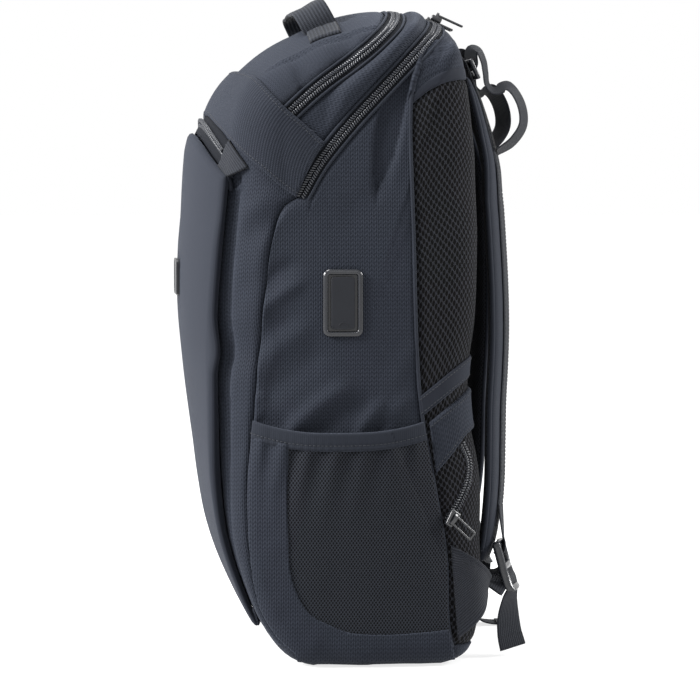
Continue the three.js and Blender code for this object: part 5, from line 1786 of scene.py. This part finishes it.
# %% Load lifters, their slack ends, and the tabs and adjusters at the foot
for label, rows, count, node in (
    ("lifter_webbing", LOAD_LIFTER, 90, "load_lifter"),
    ("lifter_slack", LIFTER_TAIL, 150, "lifter_tail"),
    ("buckle_tab_webbing", BUCKLE_TAB, 60, "buckle_tab"),
):
    on_both_sides(
        label, lambda: webbing_mesh(route(rows, count)), WEBBING, "ribbed_webbing", (node,)
    )
for side, sign, tail in (("right", 1, TAIL_RIGHT), ("left", -1, TAIL_LEFT)):
    adjuster = webbing_mesh(route((*ADJUSTER, *tail), 140))
    if sign < 0:
        mirrored(adjuster)
    piece(f"adjuster_{side}", adjuster, WEBBING, "ribbed_webbing", (f"adjuster_webbing_{side}",))
    hem_path = route((*ADJUSTER, *tail), 140)[-14:]
    hem_path[:, 1] += 0.1 * MM
    hem_path[:, 2] += 1.0 * MM
    hem = webbing_mesh(hem_path, WEBBING_WIDTH - 0.6 * MM, 1.4 * MM)
    if sign < 0:
        mirrored(hem)
    piece(f"adjuster_hem_{side}", hem, WEBBING, "ribbed_webbing")

# %% [markdown]
# ## Buckles and rings
# A ladder lock is moulded in one piece: two rails and three bars with the webbing woven through. A grid with
# its slots' faces deleted is pulled up into a frame, its edges are rounded and its bars are bowed.

# %% Slotted frames
def lines_between(total, bar, slots):
    """Where bars and slots begin and end, from one end of a frame to the other."""
    slot = (total - (slots + 1) * bar) / slots
    marks = [0.0]
    for _ in range(slots):
        marks += [marks[-1] + bar, marks[-1] + bar + slot]
    return np.array([*marks, total]) - total / 2


def slotted_mesh(columns, rows, holes, thickness, rounding, bow=0.0):
    """A plate in x and z with its thickness along y, given its grid lines and which cells are open."""
    made = bmesh.new()
    bmesh.ops.create_grid(made, x_segments=len(columns) - 1, y_segments=len(rows) - 1, size=0.5)
    for vertex in made.verts:
        i = round((vertex.co.x + 0.5) * (len(columns) - 1))
        j = round((vertex.co.y + 0.5) * (len(rows) - 1))
        vertex.co = (columns[i], -thickness / 2, rows[j])
    made.faces.ensure_lookup_table()
    open_cells = []
    for face in made.faces:
        middle = face.calc_center_median()
        cell = (np.searchsorted(columns, middle.x) - 1, np.searchsorted(rows, middle.z) - 1)
        if cell in holes:
            open_cells.append(face)
    bmesh.ops.delete(made, geom=open_cells, context="FACES")
    pulled = bmesh.ops.extrude_face_region(made, geom=made.faces[:])
    moved = [v for v in pulled["geom"] if isinstance(v, bmesh.types.BMVert)]
    bmesh.ops.translate(made, vec=(0, thickness, 0), verts=moved)
    bmesh.ops.recalc_face_normals(made, faces=made.faces)
    sharp = [e for e in made.edges if len(e.link_faces) == 2 and e.calc_face_angle() > 0.8]
    rounded(made, sharp, rounding)
    half = max(columns)
    for vertex in made.verts:
        vertex.co.y += bow * (1 - (vertex.co.x / half) ** 2)
    return made


def buckle_mesh():
    columns = [-17 * MM, -12.9 * MM, -6 * MM, 0, 6 * MM, 12.9 * MM, 17 * MM]
    rows = lines_between(40 * MM, 5 * MM, 2)
    holes = {(i, j) for i in range(1, 5) for j in (1, 3)}
    made = slotted_mesh(columns, rows, holes, 6.4 * MM, 1.8 * MM, 1.6 * MM)
    for vertex in made.verts:
        if vertex.co.z < -14 * MM:
            vertex.co.y += (-14 * MM - vertex.co.z) * 0.5
    bmesh.ops.rotate(made, matrix=Matrix.Rotation(math.radians(15), 3, "X"), verts=made.verts)
    bmesh.ops.rotate(made, matrix=Matrix.Rotation(math.radians(-14), 3, "Z"), verts=made.verts)
    bmesh.ops.translate(
        made, vec=(0.63 * WIDTH / 2, 0.558 * DEPTH, 0.145 * HEIGHT), verts=made.verts
    )
    return made


def ring_mesh():
    columns = [-16.5 * MM, -13 * MM, 0, 13 * MM, 16.5 * MM]
    rows = lines_between(17 * MM, 3.5 * MM, 1)
    made = slotted_mesh(columns, rows, {(1, 1), (2, 1)}, 3.5 * MM, 1.3 * MM)
    first, second = (
        Vector((x * WIDTH / 2, y * DEPTH, z * HEIGHT)) for x, y, z, _ in LOAD_LIFTER[1:3]
    )
    run = (second - first).normalized()
    face = Vector((0, -run.z, run.y)).normalized()
    turn = Matrix((Vector((1, 0, 0)), -face, Vector((0, face.z, -face.y)))).transposed()
    bmesh.ops.rotate(made, matrix=turn, verts=made.verts)
    place = (first + second) / 2 + face * 3.15 * MM
    bmesh.ops.translate(made, vec=place, verts=made.verts)
    return made


on_both_sides("ladder_lock", buckle_mesh, BUCKLE_PLASTIC, "buckle_plastic", ("strap_buckle",), crease=40)
on_both_sides("lifter_loop", ring_mesh, BUCKLE_PLASTIC, "buckle_plastic", ("lifter_ring",), crease=40)
print("buckle", triangles_made["ladder_lock_right"])

# %% [markdown]
# ## Luggage strap and wings
# A flat strap of ribbed cloth crosses the lumbar pad, so that the bag can ride on a suitcase handle. The
# wings are triangles of webbing, sewn to the side's foot. They hold the adjuster webbing.

# %% Luggage strap
STRAP_LOW = side_line((0.262, 0.302), (0.32, 0.33), (0.385, 0.362), (0.45, 0.37), (0.7, 0.37))
STRAP_HIGH = side_line((0.235, 0.382), (0.33, 0.412), (0.42, 0.436), (0.55, 0.446), (0.7, 0.45))
luggage = Cloth.over(between(STRAP_LOW, STRAP_HIGH, 26, tight=0.6), 130)
luggage_height = (
    2.6 * MM * roll(luggage.edge("left", "right", "low", "high"), 1.8 * MM)
    + 0.3 * MM
    + 0.4 * MM * uneven(luggage.points, 40 * MM, 14)
)
luggage_piece = cloth_piece(
    "luggage_strap_cloth", luggage, luggage_height, SLATE, "slate_cloth", ("luggage_strap",),
    thickness=1.6 * MM,
)
luggage_stitches = stitched(cloth_row(luggage, luggage_height, "high", 3 * MM))
stitched(cloth_row(luggage, luggage_height, "low", 3 * MM), made=luggage_stitches)
luggage_seams = piece("luggage_stitches", luggage_stitches, THREAD, "panel_cloth")
declare_sheets(luggage)

# %% Wings
WING_SEAM = ((0.345, 0.045), (0.318, 0.19))
WING_TIP = ((0.124, 0.0925, 0.05), (0.118, 0.0965, 0.066))
WING_BULGE = Vector((5 * MM, 5 * MM, 0))


def wing_cloth():
    """A triangle from the side's rear seam to the webbing, with its tip standing off the bag."""
    rows = []
    for v in eased(30, 0.5):
        y, z = (1 - v) * np.array(WING_SEAM[0]) + v * np.array(WING_SEAM[1])
        start, _ = skin.meet((FAR, y * DEPTH, z * HEIGHT), (-1, 0, 0))
        tip = Vector(WING_TIP[0]).lerp(Vector(WING_TIP[1]), v)
        rows.append([start.lerp(tip, u) + WING_BULGE * math.sin(math.pi * u) for u in np.linspace(0, 1, 40)])
    points = np.array(rows)
    out = np.cross(np.gradient(points, axis=1), np.gradient(points, axis=0))
    out /= np.linalg.norm(out, axis=2)[..., None]
    return Cloth(points, out * np.sign(out[..., :1]))


wing = wing_cloth()
wing_height = 1.6 * MM + 0.8 * MM * np.exp(-((wing.edge("low", "high") / (2.8 * MM)) ** 4))


def wing_mesh():
    made = grid_mesh(wing.lifted(wing_height), wing.t, wing.s)
    face_out(made, from_middle)
    return made


wings = on_both_sides(
    "wing_webbing", wing_mesh, WEBBING, "ribbed_webbing", ("strap_wing",), thickness=1.6 * MM
)
declare_sheets(wing)

# %% [markdown]
# ## Top handle
# The handle is a double layer of webbing, sewn down at both feet under the lid's fold, with a seam along its
# middle. It stands as a low arch that leans to the front.

# %% Handle
HANDLE_Y, HANDLE_LEAN = -0.148 * DEPTH, math.radians(28)
HANDLE_HALF, HANDLE_RISE, HANDLE_CORNER = 68 * MM, 18 * MM, 16 * MM
HANDLE_FOOT = 106 * MM
HANDLE_WIDTH, HANDLE_THICKNESS = 27 * MM, 3.0 * MM


def handle_mesh():
    up = np.array([0, -math.sin(HANDLE_LEAN), math.cos(HANDLE_LEAN)])
    lie = np.array([0, up[2], -up[1]])
    top = skin.meet((HANDLE_HALF, HANDLE_Y, FAR), (0, 0, -1))[0].z
    foot = np.array([0, HANDLE_Y, top + HANDLE_THICKNESS / 2])
    bend = [(0, 0.4), (0.3, 0.8), (1, 1), (2, 1)]
    leg = [(HANDLE_HALF + 1 * MM, -3.2 * MM)]
    leg += [(HANDLE_HALF - a * HANDLE_CORNER, b * HANDLE_RISE) for a, b in bend]
    arch = [*leg, (0, HANDLE_RISE + HANDLE_THICKNESS / 2), *[(-x, z) for x, z in leg[::-1]]]
    at = curve_through([(x, 0, rise) for x, rise in arch])
    flat = resampled(np.array([at(i / 400) for i in range(401)]), np.linspace(0, 1, 130))
    path = foot + flat[:, 2:] * up + flat[:, :1] * np.array([1.0, 0, 0])
    section = section_flat(36, 0.2, 0.8)
    across = section[:, :1]
    groove = 1 - 0.5 * np.exp(-((across / 0.05) ** 2))
    groove = groove - 0.14 * np.exp(-(((np.abs(across) - 0.8) / 0.06) ** 2))
    section = section * np.concatenate([np.ones_like(groove), groove], axis=1)
    return swept_mesh(path, section, HANDLE_WIDTH, HANDLE_THICKNESS, lie=lie)


piece("handle_webbing", handle_mesh(), HANDLE_CLOTH, "ribbed_webbing", ("top_handle",))


def handle_foot():
    """The flat end of the handle, sewn down on the lid outside its arch."""
    rows = []
    for x in np.linspace(60 * MM, HANDLE_FOOT, 24):
        row = []
        for d in np.linspace(-HANDLE_WIDTH / 2, HANDLE_WIDTH / 2, 20):
            place, normal = skin.meet((x, HANDLE_Y + d * math.cos(HANDLE_LEAN) + 2 * MM, FAR), (0, 0, -1))
            row.append([*place, *normal])
        rows.append(row)
    rows = np.array(rows)
    foot = Cloth(rows[..., :3], rows[..., 3:])
    height = 1.9 * MM * roll(foot.edge("left", "right", "high"), 1.3 * MM) + 0.4 * MM
    height -= 0.7 * MM * np.exp(-((foot.s / (0.8 * MM)) ** 2))
    return laid_mesh(foot, height)


on_both_sides("handle_foot", handle_foot, HANDLE_CLOTH, "ribbed_webbing", thickness=1.6 * MM)
print("handle", triangles_made["handle_webbing"])

# %% [markdown]
# ## Zip sliders
# Each slider is a small cast body that tapers to its tail, with a bridge over it and a pull through the
# bridge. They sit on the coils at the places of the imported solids, with their pulls lying along the zip.

# %% Sliders and pulls
SLIDER = (13 * MM, 9 * MM, 4.6 * MM)
PULL_LENGTH, PULL_WIDTH, PULL_THICKNESS, PULL_WIRE = 21 * MM, 8 * MM, 1.8 * MM, 1.6 * MM


def slider_mesh():
    """A slider at the origin, with x along its pull and z out of the zip."""
    made = bmesh.new()
    bmesh.ops.create_cube(made, size=1)
    bmesh.ops.scale(made, vec=SLIDER, verts=made.verts)
    for vertex in made.verts:
        if vertex.co.x > 0:
            vertex.co.y *= 0.66
    rounded(made, made.edges[:], 1.3 * MM)
    bridge = bmesh.ops.create_grid(made, x_segments=1, y_segments=1, size=0.9 * MM)["verts"]
    bmesh.ops.translate(made, vec=(-4.2 * MM, 0, SLIDER[2] / 2 - 0.4 * MM), verts=bridge)
    bmesh.ops.spin(
        made, geom=[*{f for v in bridge for f in v.link_faces}], cent=(0, 0, SLIDER[2] / 2 - 0.4 * MM),
        axis=(0, 1, 0), angle=math.pi, steps=10, use_duplicate=False,
    )
    raised = {v for f in made.faces for v in f.verts if v.co.z > SLIDER[2] / 2 + 0.1 * MM}
    for vertex in raised:
        vertex.co.z = SLIDER[2] / 2 + (vertex.co.z - SLIDER[2] / 2) * 0.62
    bmesh.ops.recalc_face_normals(made, faces=made.faces)
    return made


def pull_mesh():
    columns = np.array([-0.5, -0.3, 0.3, 0.5]) * PULL_WIDTH
    rows = np.array([0, PULL_WIRE, PULL_LENGTH - PULL_WIRE, PULL_LENGTH])
    made = slotted_mesh(columns, rows, {(1, 1)}, PULL_THICKNESS, 0.6 * MM)
    bmesh.ops.rotate(made, matrix=Matrix(((0, 0, 1), (1, 0, 0), (0, 1, 0))), verts=made.verts)
    bmesh.ops.translate(made, vec=(0.6 * MM, 0, SLIDER[2] / 2 + PULL_THICKNESS / 2 - 0.2 * MM), verts=made.verts)
    return made


def slider_at(name, node, place, run, out, lift, hang=None):
    """A slider along the zip, and its pull along the zip too or hanging another way."""
    out = Vector(out).normalized()
    for part, make, way in (("body", slider_mesh, run), ("pull", pull_mesh, hang or run)):
        way = (Vector(way) - out * Vector(way).dot(out)).normalized()
        lie = Matrix((way, out.cross(way), out)).transposed().to_4x4()
        made = make()
        where = Matrix.Translation(Vector(place) + out * (SLIDER[2] / 2 + lift)) @ lie
        bmesh.ops.transform(made, matrix=where, verts=made.verts)
        bmesh.ops.recalc_face_normals(made, faces=made.faces)
        piece(f"{name}_{part}", made, ZIP_METAL, "zip_metal", (node,) if part == "body" else (), crease=45)


def slider_on_side(name, node, line, y, sign, lift=1.6 * MM, hang=None):
    """A slider where a side line passes a place along the depth, with its pull towards the line's start."""
    i = min(int(np.argmin(np.abs(line[:, 0] - y))), len(line) - 3)
    place, out = skin.meet((sign * FAR, *line[i]), (-sign, 0, 0))
    back = line[max(i - 2, 0)] - line[i + 2]
    slider_at(name, node, place, (0, *back), out, lift, hang)


slider_on_side("front_slider", "front_zip_slider", FRONT_ZIP, -0.52 * DEPTH, -1, 3.2 * MM)
slider_on_side("middle_slider", "middle_zip_slider", MIDDLE_ZIP, -0.212 * DEPTH, -1)
slider_on_side(
    "lumbar_slider", "lumbar_zip_slider", LUMBAR_ZIP[::-1], 0.316 * DEPTH, 1, 2 * MM, (0, 0.76, -0.65)
)
rear_course = course(REAR_ZIP, 400, 0.0)
for side, sign in SIDES:
    i = int(np.argmin(np.abs(rear_course[:, 0] - sign * 34 * MM)))
    run = (rear_course[i - 3] - rear_course[i + 3])[:3] * sign
    slider_at(
        f"rear_slider_{side}", f"rear_zip_slider_{side}", rear_course[i, :3], run,
        rear_course[i, 3:], 1.6 * MM, (0, 0.6, -0.8),
    )
print("sliders placed")

# %% [markdown]
# ## Badge
# A blank plate of moulded plastic on the front panel. Its rim is rounded and its field lies a little lower.

# %% Badge
def rounded_plate(width, height, corner, depth, steps=6):
    """A plate from 0 to its depth along z, with round corners."""
    made = bmesh.new()
    bmesh.ops.create_grid(made, x_segments=1, y_segments=1, size=0.5)
    bmesh.ops.scale(made, vec=(width, height, 1), verts=made.verts)
    bmesh.ops.bevel(
        made, geom=made.verts[:], offset=corner, segments=steps, profile=0.5, affect="VERTICES", material=-1
    )
    pulled = bmesh.ops.extrude_face_region(made, geom=made.faces[:])
    moved = [v for v in pulled["geom"] if isinstance(v, bmesh.types.BMVert)]
    bmesh.ops.translate(made, vec=(0, 0, depth), verts=moved)
    bmesh.ops.recalc_face_normals(made, faces=made.faces)
    return made


def face_towards(made, axis):
    """The flat face that looks furthest along an axis."""
    made.faces.ensure_lookup_table()
    made.normal_update()
    return max(made.faces, key=lambda f: f.normal.dot(axis) * 10 + f.calc_center_median().dot(axis))


def rimmed(made, rim, sink, rounding):
    """Sinks a plate's upper face inside a rim and rounds the rim's edges."""
    up = Vector((0, 0, 1))
    top = face_towards(made, up)
    bmesh.ops.inset_region(made, faces=[top], thickness=rim, depth=0)
    top = face_towards(made, up)
    bmesh.ops.inset_region(made, faces=[top], thickness=0.25 * rounding, depth=-sink)
    sharp = [
        e for e in made.edges
        if len(e.link_faces) == 2 and e.calc_face_angle() > 0.9 and e.calc_length() > 0.05 * MM
    ]
    rounded(made, sharp, rounding)
    return made


badge = rimmed(rounded_plate(52 * MM, 28 * MM, 4 * MM, 4 * MM), 1.8 * MM, 0.5 * MM, 0.35 * MM)
badge_low, badge_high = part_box("front_badge")
onto_front = Matrix(((1, 0, 0), (0, 0, -1), (0, 1, 0)))
bmesh.ops.rotate(badge, matrix=onto_front, verts=badge.verts)
bmesh.ops.translate(badge, vec=(0, badge_high[1], (badge_low[2] + badge_high[2]) / 2), verts=badge.verts)
bmesh.ops.recalc_face_normals(badge, faces=badge.faces)
piece("badge_plate", badge, PLASTIC, "plastic", ("front_badge",), crease=40)

# %% [markdown]
# ## Charging port
# A moulded bezel is let into the side panel. In its recess lies a cover, hinged at its top, with a rounded
# border and a low arc at its foot for a fingernail. Behind it is the socket. The cover is a body of its own.

# %% Bezel, cover and socket
cover_low, cover_high = (Vector(corner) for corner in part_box("usb_flap"))
PORT_FACE, PORT_DEPTH, SOCKET = port_high.x + 0.3 * MM, 6 * MM, (5.2 * MM, 13 * MM)
PORT_FLOOR = cover_low.x - 0.8 * MM
PORT_PROFILE = (
    # from the rim's outer edge to its recess: how far in each step goes and how far out
    (0.25, 0.3), (0.5, 0.4), (0.75, 0.35), (0.8, 0.1), (0.7, -0.15), (0.55, -0.5), (0.35, -0.8),
    (0.15, (PORT_FLOOR - PORT_FACE) / MM + 1.45),
)
onto_side = Matrix(((0, 0, 1), (1, 0, 0), (0, 1, 0)))


def on_side(made, x):
    """Turns a plate that lies in x and y to face out of the right side, at a distance from the middle."""
    bmesh.ops.rotate(made, matrix=onto_side, verts=made.verts)
    bmesh.ops.translate(made, vec=(x, port_middle.y, port_middle.z), verts=made.verts)
    bmesh.ops.recalc_face_normals(made, faces=made.faces)
    return made


def stepped(made, profile):
    """Takes a plate's upper face through steps in millimetres: how far in each one goes and how far up."""
    for inset, rise in profile:
        face = face_towards(made, Vector((0, 0, 1)))
        bmesh.ops.inset_region(made, faces=[face], thickness=inset * MM, depth=rise * MM)
    return made


def bezel_mesh():
    made = stepped(rounded_plate(30 * MM, 50.5 * MM, 5.4 * MM, PORT_DEPTH), PORT_PROFILE)
    return on_side(made, PORT_FACE - PORT_DEPTH - sum(rise for _, rise in PORT_PROFILE if rise > 0) * MM)


piece("port_bezel", bezel_mesh(), BEZEL_PLASTIC, "plastic", ("usb_bezel",), crease=35)

COVER_WIDTH, COVER_HEIGHT = cover_high.y - cover_low.y - 2 * MM, cover_high.z - cover_low.z - 1.4 * MM
COVER_DEPTH, COVER_CORNER = cover_high.x - cover_low.x - 0.3 * MM, 2.4 * MM
COVER_PROFILE = (
    # from the plate's outer edge over its border to the fine line around its middle
    (0.12, 0.16), (0.2, 0.12), (0.9, 0), (0.1, -0.35), (0.2, 0), (0.1, 0.35),
)
CATCH_RADIUS, CATCH_WIRE = 3.2 * MM, 0.42 * MM


def cover_mesh():
    """A plate with a rounded edge and a fine line inside its border."""
    made = rounded_plate(COVER_WIDTH, COVER_HEIGHT, COVER_CORNER, COVER_DEPTH)
    return on_side(stepped(made, COVER_PROFILE), cover_low.x)


def catch_mesh():
    """The low arc at the cover's foot that a fingernail takes hold of."""
    turns = np.radians(np.linspace(0, 180, 30))
    zero = np.zeros_like(turns)
    arc = [CATCH_RADIUS * np.cos(turns), CATCH_RADIUS * np.sin(turns)]
    rows = np.stack([*arc, zero, zero, zero, zero + 1], axis=1)
    rows[:, 1] -= COVER_HEIGHT / 2 - 2.2 * MM
    return on_side(piping_mesh(rows, CATCH_WIRE), cover_low.x + COVER_DEPTH + 0.3 * MM)


piece(
    "port_cover_plate", cover_mesh(), COVER_PLASTIC, "port_cover", ("usb_flap",), body="port_cover",
    crease=35,
)
piece("port_cover_catch", catch_mesh(), COVER_PLASTIC, "port_cover", body="port_cover", crease=35)


def socket_mesh():
    """The charging socket's metal mouth: an open box with its walls."""
    wide, high = SOCKET
    made = rounded_plate(wide, high, 1.2 * MM, 0.5 * MM)
    bmesh.ops.inset_region(made, faces=[face_towards(made, Vector((0, 0, 1)))], thickness=0.5 * MM, depth=0)
    inner = min(
        (f for f in made.faces if f.normal.z > 0.9), key=lambda f: f.calc_center_median().to_2d().length
    )
    pushed = bmesh.ops.extrude_face_region(made, geom=[inner])
    moved = [v for v in pushed["geom"] if isinstance(v, bmesh.types.BMVert)]
    bmesh.ops.translate(made, vec=(0, 0, -2.5 * MM), verts=moved)
    bmesh.ops.delete(made, geom=[inner], context="FACES_ONLY")
    return on_side(made, cover_low.x - 0.5 * MM)


# The socket is coloured near black as painted shade deep in the port.
piece("port_socket", socket_mesh(), SOCKET_SHADE, "plastic", crease=35)
print("port", triangles_made["port_bezel"], triangles_made["port_cover_plate"])

# %% [markdown]
# ## Triangles
# The number of triangles made, before any modifier, is printed.

# %% Print the triangle count
print("triangles before modifiers", sum(triangles_made.values()))
